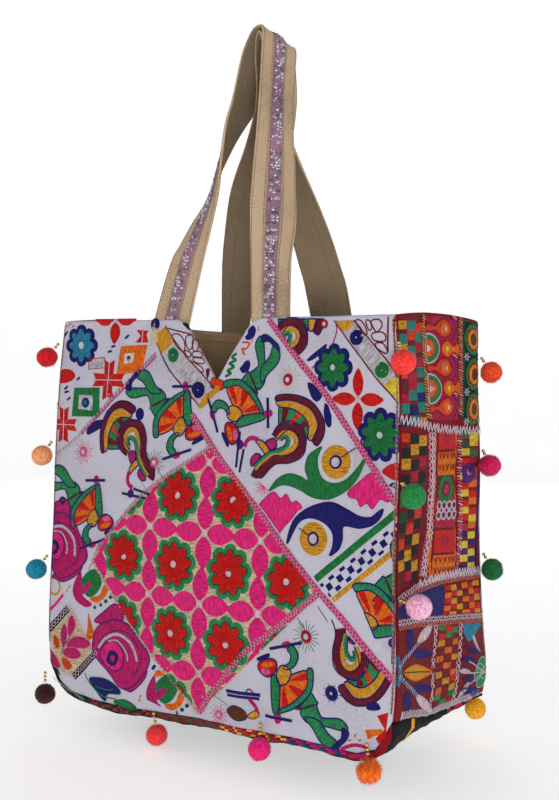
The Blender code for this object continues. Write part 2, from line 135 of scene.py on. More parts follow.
DIAMOND = outline("0,297 145,154 -6,8 -58,49 -116,100 -165,156 -156,174 -115,215 -73,250")
BACK_DIAMOND = outline("0,318 128,188 0,58 -128,188")
RIBBONS = outlines("-32,330 0,297 57,242 146,159 236,82 | 67,433 116,383 153,346 192,298 235,248"
                   " | 145,156 98,117 47,74 -3,9")
SEAMS = {
    "front": RIBBONS + outlines(
        "0,297 -74,251 -115,216 -162,165 | -165,156 -116,100 -58,49 -6,8"
        " | -88,396 -192,302 -231,274 | -92,419 -23,338 | 173,432 231,348"),
    "back": outlines(
        "-190,125 -128,188 0,318 100,420 | 0,58 128,188 215,276 | -128,188 0,58 | 0,318 128,188"
        " | -225,300 -140,425 | -228,118 -120,24 | 110,24 228,130"),
    "right": outlines(
        "-99,326 101,316 | -98,177 101,143 | -99,145 105,105 | -31,434 -37,323 | 43,436 39,319"
        " | -37,321 -29,165 | 36,317 37,154 | -15,128 -28,31 | 45,116 22,23"),
}
SEAMS["left"] = SEAMS["right"]


def curved(points, closed=True, steps=4):
    """A smooth line through the points."""
    points = np.array(points, float)
    count = len(points)
    if count < 3:
        return points
    made = []
    for i in range(count if closed else count - 1):
        a, b, c, d = (points[(i + k) % count if closed else min(max(i + k, 0), count - 1)]
                      for k in (-1, 0, 1, 2))
        for part in np.arange(steps) / steps:
            made.append(0.5 * (2 * b + (c - a) * part + (2 * a - 5 * b + 4 * c - d) * part ** 2
                               + (3 * b - a - 3 * c + d) * part ** 3))
    if not closed:
        made.append(points[-1])
    return np.array(made)


SMOOTH = curved(SECTIONS, False)


def read(table, share, column=1):
    table = np.array(table)
    return np.interp(share, table[:, 0], table[:, column])


def half_width(z, side="front"):
    return BODY_WIDTH / 2 * read(SMOOTH, z / RIM_HEIGHT, 3 if side == "back" else 1)


def half_depth(z, side="front"):
    return BODY_DEPTH / 2 * read(SMOOTH, z / RIM_HEIGHT, 4 if side == "back" else 2)


def rim_draw(side, share, z):
    """How far a panel is drawn in between its corners, most of all at the rim."""
    high = np.clip((z / RIM_HEIGHT - 0.35) / 0.65, 0.0, 1.0)
    high = high * high * (3 - 2 * high)
    pull = FRONT_PULL if side == "front" else BACK_PULL
    return pull * np.clip(1 - share * share, 0, 1) ** 1.5 * high


def rim_height(side, share):
    if side in BROAD:
        x = np.abs(share) * half_width(RIM_HEIGHT, side)
        z = RIM_HEIGHT - NOTCH_DEPTH * read(NOTCH, x / NOTCH_HALF)
        if side == "back":
            z = z - BACK_SINK * np.clip(1 - share * share, 0, 1) ** 0.8
        return z
    return RIM_HEIGHT + GUSSET_ARCH * (1 - share * share)


def seam_height(side, share):
    if side == "front":
        return SEAM_RISE * read(FRONT_SEAM, np.abs(share)) - LEFT_SAG * read(SAG, share)
    if side == "back":
        return SEAM_RISE * read(BACK_SEAM, np.abs(share))
    return SEAM_RISE * read(GUSSET_SEAM, share)


def seam_distance(u, z, lines):
    """Distance in metres from each point to the nearest of some seam lines in mm."""
    near = np.full(np.shape(u), 9.0)
    for line in lines:
        for a, b in zip(line / 1000, line[1:] / 1000):
            way = b - a
            part = np.clip(((u - a[0]) * way[0] + (z - a[1]) * way[1]) / (way @ way), 0, 1)
            near = np.minimum(near, np.hypot(u - a[0] - way[0] * part, z - a[1] - way[1] * part))
    return near


def relief(side, u, z):
    """Soft rise of the padded patches, their seams and the sag of the cloth."""
    away = seam_distance(u, z, SEAMS[side])
    groove = -0.0014 * np.exp(-(away / 0.0045) ** 2)
    turn = {"front": 0.0, "back": 1.7, "left": 3.1, "right": 4.4}[side]
    sag = 0.0012 * np.sin(31 * u + 17 * z + turn) + 0.0009 * np.sin(23 * u - 41 * z + 2 * turn)
    sag = sag + 0.0007 * np.sin(88 * u + 57 * z + turn) * np.sin(61 * z - 40 * u)
    low = np.exp(-((z - 0.03) / 0.03) ** 2)
    sag = sag + 0.0007 * low * np.sin(150 * u + turn)
    if side in BROAD:
        high = np.clip((z - 0.24) / 0.17, 0, 1) ** 2
        for x, lean in ((-0.075, 0.16), (0.075, -0.16)):
            across = (u - x + lean * (RIM_HEIGHT - z) * 0.8) / 0.016
            sag = sag + 0.0028 * high * np.sin(across) * np.exp(-(across / 3.2) ** 2)
    near = np.exp(-(away / 0.012) ** 2)
    pucker = 0.0004 * near * np.sin(620 * u + 250 * z) + 0.0003 * near * np.sin(190 * u - 560 * z)
    return groove + sag + pucker


def panel_width(side, z):
    """Half of a panel's width at its rounded corners."""
    if side in BROAD:
        return half_width(z, side) - CORNER_CUT
    return (half_depth(z, "front") + half_depth(z, "back")) / 2 - CORNER_CUT


def surface(side, u, z, out=0.0, inset=0.0, soft=1.0):
    """Points on a wall: u from its middle line, z up, out from the cloth."""
    u, z, out = np.broadcast_arrays(np.asarray(u, float), np.asarray(z, float), out)
    span = panel_width(side, z) - inset
    u = np.clip(u, -span, span)
    edge = np.clip((span - np.abs(u)) / 0.012, 0, 1)
    rise = relief(side, u, z) * edge * soft + out
    beyond = np.clip(np.abs(u) - (span + CORNER_CUT - CORNER_ROUND), 0, CORNER_ROUND)
    bent = np.minimum(beyond, CORNER_ROUND * 0.72)
    turn_in = CORNER_ROUND - np.sqrt(CORNER_ROUND ** 2 - bent ** 2)
    share = u / (span + CORNER_CUT)
    sign = -1 if side in ("front", "left") else 1
    if side in BROAD:
        deep = half_depth(z, side) - inset - rim_draw(side, share, z)
        points = np.stack((u, sign * (deep - turn_in + rise), z), -1)
    else:
        middle = (half_depth(z, "back") - half_depth(z, "front")) / 2
        wide = half_width(z, "front") * (1 - share) / 2 + half_width(z, "back") * (1 + share) / 2
        points = np.stack((sign * (wide - inset - turn_in + rise), middle + u, z), -1)
    return points - HANG


def divided(points, longest, closed=True):
    """A line with its long steps divided."""
    made = []
    count = len(points)
    for i in range(count if closed else count - 1):
        a, b = points[i], points[(i + 1) % count]
        parts = max(1, math.ceil(np.hypot(*(b - a)) / longest))
        made += [a + (b - a) * k / parts for k in range(parts)]
    if not closed:
        made.append(points[-1])
    return np.array(made)


def area(points):
    x, y = points[:, 0], points[:, 1]
    return 0.5 * np.sum(x * np.roll(y, -1) - np.roll(x, -1) * y)


def window_sides(window):
    """For each edge of a convex window, how far inside it the points are."""
    window = np.array(window, float)
    if area(window) < 0:
        window = window[::-1]
    for a, b in zip(window, np.roll(window, -1, 0)):
        yield lambda p: (b[0] - a[0]) * (p[:, 1] - a[1]) - (b[1] - a[1]) * (p[:, 0] - a[0])


def clipped(points, window):
    """The part of a closed outline inside a convex window."""
    for inside in window_sides(window):
        side = inside(points)
        made = []
        for k in range(len(points)):
            m = (k + 1) % len(points)
            if side[k] >= 0:
                made.append(points[k])
            if (side[k] >= 0) != (side[m] >= 0):
                made.append(points[k] + (points[m] - points[k]) * side[k] / (side[k] - side[m]))
        if len(made) < 3:
            return np.zeros((0, 2))
        points = np.array(made)
    return points


def in_window(points, window):
    return np.all([inside(points) >= 0 for inside in window_sides(window)], 0)


def depth_inside(points, ring):
    """How deep each point lies inside a closed outline; negative outside it."""
    a, b = ring, np.roll(ring, -1, 0)
    way = b - a
    away = points[:, None] - a
    part = np.clip((away * way).sum(2) / np.maximum((way ** 2).sum(1), 1e-9), 0, 1)
    near = np.hypot(*np.moveaxis(away - way * part[..., None], 2, 0)).min(1)
    above = (a[:, 1] > points[:, 1:2]) != (b[:, 1] > points[:, 1:2])
    tall = np.where(way[:, 1] == 0, 1e-9, way[:, 1])
    cross_at = a[:, 0] + way[:, 0] * (points[:, 1:2] - a[:, 1]) / tall
    odd = (above & (points[:, 0:1] < cross_at)).sum(1) % 2
    return np.where(odd == 1, near, -near)


def unit(ways):
    """Ways of length one."""
    return ways / np.maximum(np.hypot(*ways.T), 1e-6)[:, None]


def left_of(ways):
    return np.stack((-ways[..., 1], ways[..., 0]), -1)


def ray(angle, tall=1.0):
    return np.array((math.cos(angle), math.sin(angle) * tall))


def grid_faces(rows, columns, closed=False, flip=False, first=0):
    """Quads over rows of points, joined round each row where it is closed."""
    faces = []
    for r in range(rows - 1):
        for c in range(columns if closed else columns - 1):
            n = (c + 1) % columns
            quad = (r * columns + c, r * columns + n, (r + 1) * columns + n, (r + 1) * columns + c)
            faces.append(tuple(first + v for v in (quad[::-1] if flip else quad)))
    return faces


LEVEL, PAD, BURIED = 0.30, 0.42, 0.06
CORD = ((-1.0, 0.0), (-0.6, 0.8), (0.0, 1.0), (0.6, 0.8), (1.0, 0.0))


class Needlework:
    """Stitched shapes gathered flat for one panel and laid on it as one mesh."""

    def __init__(self, side):
        self.side, self.parts, self.count = side, [], 0

    def add(self, points, lifts, threads, faces, colour):
        faces = [tuple(v + self.count for v in face) for face in faces]
        self.parts.append((points, lifts, threads, faces, colour))
        self.count += len(points)

    def fill(self, colour, shape, level=0, smooth=True, turn=None, clip=None, edge=None,
             wide=1.0, pad=PAD, grid=5.0):
        """A padded stitched area, its threads across its length."""
        ring = curved(shape) if smooth else np.array(shape, float)
        if clip is not None:
            ring = clipped(ring, clip)
        if len(ring) < 3 or abs(area(ring)) < 1.5:
            return
        if area(ring) < 0:
            ring = ring[::-1]
        ring = divided(ring, 3.0)
        ring = ring[np.hypot(*(ring - np.roll(ring, 1, 0)).T) > 0.02]
        if turn is None:
            ways = np.linalg.eigh(np.cov((ring - ring.mean(0)).T))[1]
            turn = math.atan2(ways[1, 0], ways[0, 0])
        inner = ring + left_of(unit(np.roll(ring, -1, 0) - np.roll(ring, 1, 0))) * 0.8
        inner = inner[depth_inside(inner, ring) > 0.6]
        low, high = ring.min(0), ring.max(0)
        if min(high - low) > 2 * grid:
            middle = np.stack(np.meshgrid(*(np.arange(low[i], high[i], grid) for i in (0, 1))), -1)
            middle = middle.reshape(-1, 2)
            inner = np.concatenate((inner, middle[depth_inside(middle, ring) > grid * 0.45]))
        flat = [Vector(p) for p in np.concatenate((ring, inner))]
        count = len(ring)
        verts, _, faces, origins, _, _ = delaunay_2d_cdt(flat, [], [list(range(count))], 1, 1e-4)
        top = level * LEVEL + pad
        rim_lift = level * LEVEL - BURIED if len(inner) > 2 else top
        lifts = [top if (o and min(o) >= count) else rim_lift for o in origins]
        points = np.array([tuple(v) for v in verts])
        c, s = math.cos(turn), math.sin(turn)
        self.add(points, lifts, points @ ((c, -s), (s, c)), faces, colour)
        if edge:
            self.line(edge, ring, wide, level + 1, closed=True, smooth=False)

    def line(self, colour, path, wide, level=0, closed=False, smooth=True, clip=None, pad=0.40):
        """A couched cord or a run of stitches along a path."""
        path = curved(path, closed) if smooth else np.array(path, float)
        if clip is not None:
            path = divided(path, 1.5, closed)
            if closed:
                path = np.concatenate((path, path[:1]))
            within = in_window(path, clip)
            turns = np.flatnonzero(np.diff(within.astype(int))) + 1
            for run in np.split(np.arange(len(path)), turns):
                if within[run[0]] and len(run) > 2:
                    self.line(colour, path[run], wide, level, smooth=False, pad=pad)
            return
        path = divided(path, 4.0, closed)
        count = len(path)
        if count < 2:
            return
        ahead = np.roll(path, -1, 0) - np.roll(path, 1, 0) if closed else np.gradient(path, axis=0)
        across = left_of(unit(ahead)) * wide / 2
        base, top = level * LEVEL - BURIED, level * LEVEL + pad
        run = np.concatenate(([0.0], np.cumsum(np.hypot(*np.diff(path, axis=0).T))))
        self.add(np.concatenate([path + across * share for share, _ in CORD]),
                 np.repeat([base + (top - base) * high for _, high in CORD], count),
                 np.stack((np.repeat([share * wide for share, _ in CORD], count),
                           np.tile(run, len(CORD))), 1),
                 grid_faces(len(CORD), count, closed), colour)

    def lay(self, name):
        """The gathered shapes as one object on the panel."""
        points, lifts, threads = (np.concatenate([p[i] for p in self.parts]) for i in range(3))
        names = sorted({p[4] for p in self.parts})
        faces = [face for p in self.parts for face in p[3]]
        which = [names.index(p[4]) for p in self.parts for _ in p[3]]
        placed = surface(self.side, points[:, 0] / 1000, points[:, 1] / 1000, lifts / 1000)
        build(name, placed, faces, threads, [thread(n) for n in names], which)


def place(mesh, materials, cad=None, thick=None):
    """A mesh as a piece of the model, for its solid where it has one."""
    for item in materials:
        mesh.materials.append(item)
    made = bpy.data.objects.new(mesh.name, mesh)
    bpy.context.scene.collection.objects.link(made)
    if thick:
        cloth = made.modifiers.new("cloth", "SOLIDIFY")
        cloth.thickness, cloth.offset = thick, -1.0
    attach(made, "root")
    if cad:
        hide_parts(cad)


def build(name, points, faces, threads, materials, which=None, smooth=True, cad=None,
          thick=None):
    """A piece made of points and faces, with a thread coordinate for each point."""
    mesh = bpy.data.meshes.new(name)
    mesh.from_pydata(np.asarray(points).tolist(), [], faces)
    if which is not None:
        mesh.polygons.foreach_set("material_index", which)
    if threads is not None:
        layer = mesh.uv_layers.new(name="thread")
        index = np.empty(len(mesh.loops), int)
        mesh.loops.foreach_get("vertex_index", index)
        layer.data.foreach_set("uv", np.asarray(threads, np.float32)[index].ravel())
    if smooth:
        mesh.shade_smooth()
    place(mesh, materials, cad, thick)


def build_round(name, bm, material, cad):
    """A smooth piece from an edited mesh."""
    mesh = bpy.data.meshes.new(name)
    bm.to_mesh(mesh)
    bm.free()
    mesh.shade_smooth()
    place(mesh, [material], cad)


# materials -------------------------------------------------------------------

def settle(made, **values):
    """Sets attributes, or the input sockets of those names."""
    for key, value in values.items():
        if hasattr(made, key):
            setattr(made, key, value)
        else:
            made.inputs[key.replace("_", " ")].default_value = value
    return made


def node(tree, kind, **values):
    return settle(tree.nodes.new("ShaderNode" + kind), **values)


def nodes_of(name, **values):
    made = bpy.data.materials.new(name)
    made.use_nodes = True
    return made, made.node_tree, settle(made.node_tree.nodes["Principled BSDF"], **values)


def stretched(tree, made, scale):
    """A texture of the thread coordinate stretched by a scale."""
    place_at = node(tree, "UVMap", uv_map="thread")
    mapping = node(tree, "Mapping", Scale=scale)
    tree.links.new(place_at.outputs["UV"], mapping.inputs["Vector"])
    tree.links.new(mapping.outputs["Vector"], made.inputs["Vector"])
    return made.outputs["Fac"]


def noise(tree, scale, detail=3.0):
    return stretched(tree, node(tree, "TexNoise", Scale=1.0, Detail=detail), scale)


def wave(tree, scale, direction, distortion):
    made = node(tree, "TexWave", bands_direction=direction, Scale=1.0, Distortion=distortion,
                Detail=1.0)
    return stretched(tree, made, scale)


def grain(tree, size, detail):
    """Noise through the body of a small piece."""
    made = node(tree, "TexNoise", Scale=size, Detail=detail)
    where = node(tree, "TexCoord")
    tree.links.new(where.outputs["Object"], made.inputs["Vector"])
    return made.outputs["Fac"]


def tint(tree, shader, value, low, high, dark, light):
    """A base colour that goes from dark to light as value goes from low to high."""
    ramp = node(tree, "ValToRGB")
    for stop, at, colour in zip(ramp.color_ramp.elements, (low, high), (dark, light)):
        stop.position = at
        stop.color = (*colour, 1)
    tree.links.new(value, ramp.inputs["Fac"])
    tree.links.new(ramp.outputs["Color"], shader.inputs["Base Color"])


def roughen(tree, shader, value, low, high):
    made = node(tree, "MapRange", To_Min=low, To_Max=high)
    tree.links.new(value, made.inputs["Value"])
    tree.links.new(made.outputs["Result"], shader.inputs["Roughness"])


def tinted(colour, gain, lean=0.0):
    return tuple(min(max(c * gain + lean, 0.0), 1.0) for c in colour)


def sum_of(tree, values):
    total = values[0]
    for other in values[1:]:
        add = node(tree, "Math", operation="ADD")
        tree.links.new(total, add.inputs[0])
        tree.links.new(other, add.inputs[1])
        total = add.outputs[0]
    return total


def bump(tree, shader, heights, strength, distance):
    """Bump from the sum of some heights."""
    made = node(tree, "Bump", Strength=strength, Distance=distance)
    tree.links.new(sum_of(tree, heights), made.inputs["Height"])
    tree.links.new(made.outputs["Normal"], shader.inputs["Normal"])


@functools.cache
def thread(name):
    """Satin stitches of one colour: fine threads side by side, streaked and glossy."""
    made, tree, shader = nodes_of("thread_" + name, Sheen_Weight=0.01, Sheen_Roughness=0.4,
                                  Specular_IOR_Level=0.10)
    colour = COLOURS[name]
    streak = noise(tree, (0.12, 0.62, 1), 4.0)
    tint(tree, shader, streak, 0.30, 0.72, tinted(colour, 0.45), tinted(colour, 1.45, 0.004))
    roughen(tree, shader, streak, 0.48, 0.72)
    bump(tree, shader, [wave(tree, (0.03, 0.40, 1), "Y", 1.6), noise(tree, (0.2, 1.6, 1))],
         0.8, 0.0006)
    return made


@functools.cache
def weave(name, colour, pitch=0.9, light=1.12, dark=0.80):
    """Plain-woven cloth: warp and weft, slubs and soft uneven patches of darker and lighter tone.
    """
    made, tree, shader = nodes_of(name, Roughness=0.85, Sheen_Weight=0.02, Sheen_Roughness=0.5,
                                  Specular_IOR_Level=0.08)
    # the base colour goes darker and lighter in broad soft noise patches, with finer noise over
    # them
    tone_patches = sum_of(tree, [noise(tree, (0.012, 0.012, 1), 4.0), noise(tree, (0.25, 0.8, 1))])
    tint(tree, shader, tone_patches, 0.75, 1.25, tinted(colour, dark), tinted(colour, light))
    rate = 0.31 / pitch
    bump(tree, shader, [wave(tree, (rate, 0.02, 1), "X", 0.8),
                        wave(tree, (0.02, rate, 1), "Y", 0.8), noise(tree, (0.5, 0.5, 1))],
         0.6, 0.00045)
    return made


@functools.cache
def shiny(name, colour, roughness, metallic, scuffed=0.6):
    """Mirror glass, sequins and brass beads, with fine scuffs."""
    made, tree, shader = nodes_of(name, Metallic=metallic)
    scuffs = grain(tree, 900.0, 3.0)
    tint(tree, shader, scuffs, 0.3, 0.7, tinted(colour, scuffed), colour)
    roughen(tree, shader, scuffs, roughness * 0.7, roughness * 1.4)
    return made


@functools.cache
def yarn(name):
    """Felted wool yarn of a tuft."""
    made, tree, shader = nodes_of("yarn_" + name, Roughness=0.9, Sheen_Weight=0.15,
                                  Sheen_Roughness=0.45, Specular_IOR_Level=0.15)
    spots = grain(tree, 420.0, 4.0)
    tint(tree, shader, spots, 0.32, 0.68, tinted(WOOL[name], 0.60), tinted(WOOL[name], 1.25, 0.01))
    bump(tree, shader, [spots], 0.5, 0.0006)
    return made


# motifs ----------------------------------------------------------------------

def ring_points(centre, radius, sides, tall=1.0):
    angle = np.arange(sides) * math.tau / sides
    return np.stack((np.cos(angle) * radius, np.sin(angle) * radius * tall), 1) + np.array(centre)


def petals(centre, radius, count, deep, turn, sharp):
    """A flower's outline with petals that reach the radius."""
    angle = np.arange(count * 10) * math.tau / (count * 10)
    far = radius * (1 - deep + deep * np.abs(np.cos(angle * count / 2)) ** sharp)
    angle = angle + math.radians(turn)
    return np.stack((np.cos(angle) * far, np.sin(angle) * far), 1) + np.array(centre)


def spokes(work, colour, centre, angles, near, far, wide, level, tall=1.0, **how):
    """Straight stitches out from a middle, by turns to the first and the second reach."""
    for k, angle in enumerate(angles):
        way = ray(angle, tall)
        work.line(colour, [centre + way * near, centre + way * far[k % 2]], wide, level,
                  smooth=False, **how)


def disc(work, centre, radius, colour, level=0, sides=20, tall=1.0, edge=None, wide=0.9,
         clip=None):
    work.fill(colour, ring_points(centre, radius, sides, tall), level, smooth=False, edge=edge,
              wide=wide, clip=clip)


MIRRORS = []


def mirror(work, centre, radius, colour, level=0, clip=None):
    """A small mirror held by a ring of thread."""
    if clip is None or in_window(np.array([centre], float), clip)[0]:
        work.line(colour, ring_points(centre, radius + 0.7, 20), 1.8, 3, closed=True, smooth=False)
        MIRRORS.append((work.side, np.array(centre, float), radius))


def flower(work, centre, radius, fill, edge, gap, level=0, count=8, glass=4.0, clip=None):
    """A mirror flower: scalloped border, dark line, broad petals, mirror in the middle."""
    for step, (colour, share, deep, sharp) in enumerate((
            (edge, 1.0, 0.17, 0.7), (gap, 0.83, 0.22, 0.8), (fill, 0.80, 0.30, 1.3))):
        work.fill(colour, petals(centre, radius * share, count, deep, 90, sharp), level + step,
                  smooth=False, clip=clip)
    angles = [math.pi / 2 + k * math.pi / count for k in range(count * 2)]
    spokes(work, fill, centre, angles, radius * 0.2, (radius * 0.70, radius * 0.42), 1.9,
           level + 4, clip=clip, pad=0.55)
    mirror(work, centre, glass, fill, clip=clip)


PETAL = ((0.09, 0), (0.30, 0.85), (0.60, 1.0), (0.85, 0.55), (0.99, 0), (0.85, -0.55),
         (0.60, -1.0), (0.30, -0.85))


def cross(work, centre, reach, colour, level=0, turn=0.0, wide=0.56, heart="pearl", clip=None):
    """Four leaf petals around a pale middle."""
    for k in range(4):
        angle = math.radians(turn + 90 * k)
        way = ray(angle)
        side = left_of(way) * reach * wide / 2
        shape = [centre + way * reach * a + side * b for a, b in PETAL]
        work.fill(colour, shape, level, clip=clip, turn=angle + math.pi / 2)
    disc(work, centre, reach * 0.10, heart, level + 1, clip=clip)


def burst(work, centre, radius, heart, threads, level=0, count=18, clip=None):
    """A little sun of single stitches."""
    spokes(work, threads, centre, [k * math.tau / count for k in range(count)], radius * 0.36,
           (radius * 0.82, radius), 0.8, level, clip=clip)
    disc(work, centre, radius * 0.40, heart, level + 1, clip=clip)
    if radius > 9:
        mirror(work, centre, radius * 0.17, heart, clip=clip)


def button(work, centre, radius, colour, level=0, clip=None):
    """A disc of radiating stitches with a pale middle."""
    disc(work, centre, radius, colour, level + 1, 24, clip=clip)
    spokes(work, colour, centre, [k * math.tau / 12 for k in range(12)], radius * 0.2,
           (radius * 0.95, radius * 0.95), 1.1, level + 3, clip=clip)
    disc(work, centre, 0.9, "pearl", level + 4, 8, clip=clip)


def ring_flower(work, centre, radius, colour, level=0, clip=None):
    """A broad ring of thread around a dark disc and a mirror."""
    disc(work, centre, radius, colour, level, 32, clip=clip)
    disc(work, centre, radius * 0.42, "navy", level + 2, clip=clip)
    mirror(work, centre, radius * 0.20, "pearl", clip=clip)


def stitches(work, path, colours, reach=2.2, step=2.2, wide=0.7, lean=0.7, level=2):
    """Whip stitches over a seam."""
    colours = colours.split("/")
    path = divided(curved(path, False), step, False)
    path = path + np.array([(random.uniform(-0.2, 0.2), random.uniform(-0.2, 0.2)) for _ in path])
    for i, way in enumerate(unit(np.diff(path, axis=0))):
        arm = left_of(way) * reach * random.uniform(0.8, 1.15) + way * lean
        work.line(colours[i % len(colours)], [path[i] - arm, path[i] + arm], wide, level,
                  smooth=False, pad=0.5)


def spine_of(path, step):
    """Points a step apart along a smooth path, and the ways to its side."""
    spine = divided(curved(path, False), step, False)
    return spine, left_of(unit(np.gradient(spine, axis=0)))


def ribbon(work, path, wide=6.0):
    """A woven ribbon over a seam, held by a zigzag of pale thread."""
    work.line("pink", path, wide, 1, pad=0.75)
    work.line("magenta", path, wide * 0.34, 3, pad=0.45)
    spine, side = spine_of(path, 2.4)
    sway = [wide * (0.42 if k % 2 else -0.42) for k in range(len(spine))]
    work.line("stitch", spine + side * np.array(sway)[:, None], 0.75, 4, smooth=False, pad=0.45)
    for end in (-0.5, 0.5):
        work.line("rosepink", spine + side * wide * end, 0.9, 2, smooth=False)


def chain(work, path, colour, wide=1.0, step=3.0, reach=1.5, level=2):
    """Chain stitch: small open links along a line."""
    spine, side = spine_of(path, step)
    sway = np.array([reach * (1 if k % 2 else 0.15) for k in range(len(spine))])[:, None]
    for sign in (-1, 1):
        work.line(colour, spine + side * sway * sign, wide, level, smooth=False, pad=0.5)


def zigzag(work, path, colour, reach=4.0, step=3.4, wide=1.1, level=2):
    """Tacking stitches that run to and fro over a seam."""
    spine, side = spine_of(path, step)
    for k in range(len(spine) - 1):
        sway = reach if k % 2 else -reach
        work.line(colour, [spine[k] + side[k] * sway, spine[k + 1] - side[k + 1] * sway], wide,
                  level, smooth=False, pad=0.55)


def specks(work, spots, colour, size=3.0, turn=45, level=0):
    """Small leaf-like stitches."""
    for spot in spots:
        way = ray(math.radians(turn + random.uniform(-30, 30))) * size
        work.line(colour, [spot - way, spot + way], size * 0.9, level, smooth=False)


MOTIFS = {"disc": disc, "mirror": mirror, "flower": flower, "cross": cross, "burst": burst,
          "button": button, "ring": ring_flower}
TRAILS = {"specks": specks, "stitches": stitches, "chain": chain, "zigzag": zigzag}


def sew(work, chart, carry=None, scale=1.0, clip=None, **also):
    """Works the rows of a chart, each carried to its place.

    A row has a kind, its colours, its level, its edge colour, width or size, its
    options and its outlines or points.  A row goes on where a line begins with a space.
    fill and line are smooth, flat and run have corners, and a loop is a closed line.
    """
    for row in chart.strip().replace("\n ", " ").split("\n"):
        kind, colour, level, extra, *words = row.split()
        options = {"level": int(level)}
        for word in words:
            if "=" in word:
                key, value = word.split("=")
                options[key] = value if value.isalpha() else json.loads(value)
        for points in outlines(" ".join(word for word in words if "=" not in word)):
            points = carry(points) if carry else points
            if kind in ("fill", "flat"):
                work.fill(colour, points, smooth=kind == "fill", clip=clip,
                          edge=None if extra == "-" else extra, **{**also, **options})
            elif kind in ("line", "run", "loop"):
                work.line(colour, points, float(extra) * scale, closed=kind == "loop",
                          smooth=kind != "run", clip=clip, **options)
            elif kind in TRAILS:
                TRAILS[kind](work, points, colour, float(extra), **options)
            else:
                for point in points:
                    MOTIFS[kind](work, point, float(extra), *colour.split("/"), clip=clip,
                                 **options)


def figure(work, charted, end=None, turn=0.0, scale=1.0, flip=False, clip=None):
    """One charted figure, where it was charted or carried elsewhere."""
    start, chart = charted
    end = start if end is None else end
    c, s = math.cos(math.radians(turn)), math.sin(math.radians(turn))

    def carry(points):
        points = (points - start) * scale * ((-1, 1) if flip else (1, 1))
        return points @ ((c, s), (-s, c)) + end

    sew(work, chart, carry, scale, clip, wide=1.7)


def side_edge(side, sign, inset, low, high):
    """A line up a panel, inset from its side edge."""
    return [(sign * (1000 * float(panel_width(side, z)) - inset), 1000 * z)
            for z in np.linspace(low, high, 30)]


def worked_edges(work, low, high):
    for sign in (-1, 1):
        edge = side_edge(work.side, sign, 1.6, low, high)
        work.line("darkred", edge, 1.4, 1, smooth=False)
        stitches(work, edge, "cream/stitch/salmon", 1.3, 3.2, 0.6)


def lattice(work, node_at, across, down, clip, reach=39.5, radius=30.5):
    """Leaf crosses on a lattice, with a mirror flower in each of its cells."""
    node_at = np.array(node_at)
    step_x, step_z = np.array(across) - node_at, np.array(down) - node_at
    for i in range(-2, 4):
        for j in range(-2, 4):
            corner = node_at + step_x * i + step_z * j
            cross(work, corner, reach, "pink", 1, clip=clip)
            flower(work, corner + (step_x + step_z) / 2 + (-1.5, 0), radius, "red", "leaf",
                   "darkgreen", 1, 9, 4.2, clip)


# figures are charted once, each with the point that it is carried by
DANCER = ((123, 50), """
fill leaf 0 navy 128,36 145,45 150,38 155,33 175,36 184,29 178,25 163,25 150,25 135,26
fill leaf 1 navy 134,30 149,30 161,18 171,12 163,4 152,8 143,21
fill navy 2 - 177,28 185,26 184,18 176,9 171,4 163,4 170,12 176,18
fill leaf 0 navy 138,57 146,50 147,45 124,36 131,44
line brown 3 1.6 122,36 147,45
fill orange 0 navy 107,58 113,68 135,77 137,63 128,51 116,40 104,31 102,42 103,56
fill red 1 - 113,63 134,75 136,68 | 111,59 132,56 125,48 | 106,56 113,40 106,35
fill leaf 1 navy 141,80 143,72 141,58 132,46 118,35 102,28 103,32 116,40 128,51 136,63 135,78
fill ochre 1 navy 103,77 110,77 115,71 111,61 104,57 98,62 98,70
fill leaf 1 navy 91,63 96,66 101,60 103,46 102,29 96,28 93,44 | 106,76 113,82 114,90 110,94 113,99
 118,98 123,91 121,82 115,76 109,74
fill magenta 2 - 97,26 104,28 105,20 101,17 98,19
line navy 3 3.2 86,23 118,23
fill magenta 1 - 103,100 108,103 113,102 113,97 107,95 103,96
line navy 2 3.2 88,92 127,104
fill red 1 navy 78,78 90,82 97,79 96,70 88,63 80,64 74,69 74,74
fill orange 2 - 79,76 88,79 95,77 86,72 78,72
fill rosepink 2 - 78,70 87,71 90,67 83,64 78,66
fill navy 1 - 72,80 86,87 87,83 74,77
""")
PEACOCK = ((102, 314), """
fill maroon 0 navy 83,353 100,355 116,353 128,348 138,339 144,329 145,320 143,312 137,304 131,309
 135,316 137,324 134,333 127,341 116,346 102,349 84,347
fill ochre 1 navy 84,347 102,349 116,346 127,341 134,333 137,324 134,316 130,309 126,312 126,323
 122,331 112,338 101,341 88,342
fill leaf 0 navy 88,342 101,341 112,338 122,331 126,323 125,311 122,311 119,318 111,324 100,326
 90,322 88,330
fill darkred 1 - 92,340 101,340 97,327 93,325
fill redorange 1 - 112,337 117,334 106,325 102,326
fill darkred 1 - 120,330 125,325 125,322 116,322
line maroon 1 12 86,310 92,319 104,322 115,318 119,307 115,297 103,290 87,289 75,281 66,272 59,274
line ochre 2 6.5 90,309 95,314 104,316 111,312 113,305 108,299 97,294 84,293 71,284 62,276
line leaf 3 4 93,309 99,312 104,308 101,301 92,296 80,294 69,286 61,278
line navy 4 1.3 89,307 94,313 104,319 114,313 116,305 111,297 99,292 85,291 72,282 64,273 | 94,307
 99,310 101,307 98,302 91,299 79,295 67,287 59,279
line navy 2 1.4 83,313 89,323 102,328 119,322 124,307 121,293 106,285 89,283 80,277 70,267 60,271
fill magenta 2 navy 74,305 85,309 88,301 81,297 76,301 | 56,286 62,292 68,290 62,282 57,279
fill ochre 1 navy 61,305 69,306 79,296 74,292 66,300
line magenta 1 5 46,298 48,304 54,308 64,307
fill purple 1 - 34,302 38,306 44,302 42,296 36,296
line navy 2 3 38,314 36,276 | 45,296 41,271
""")
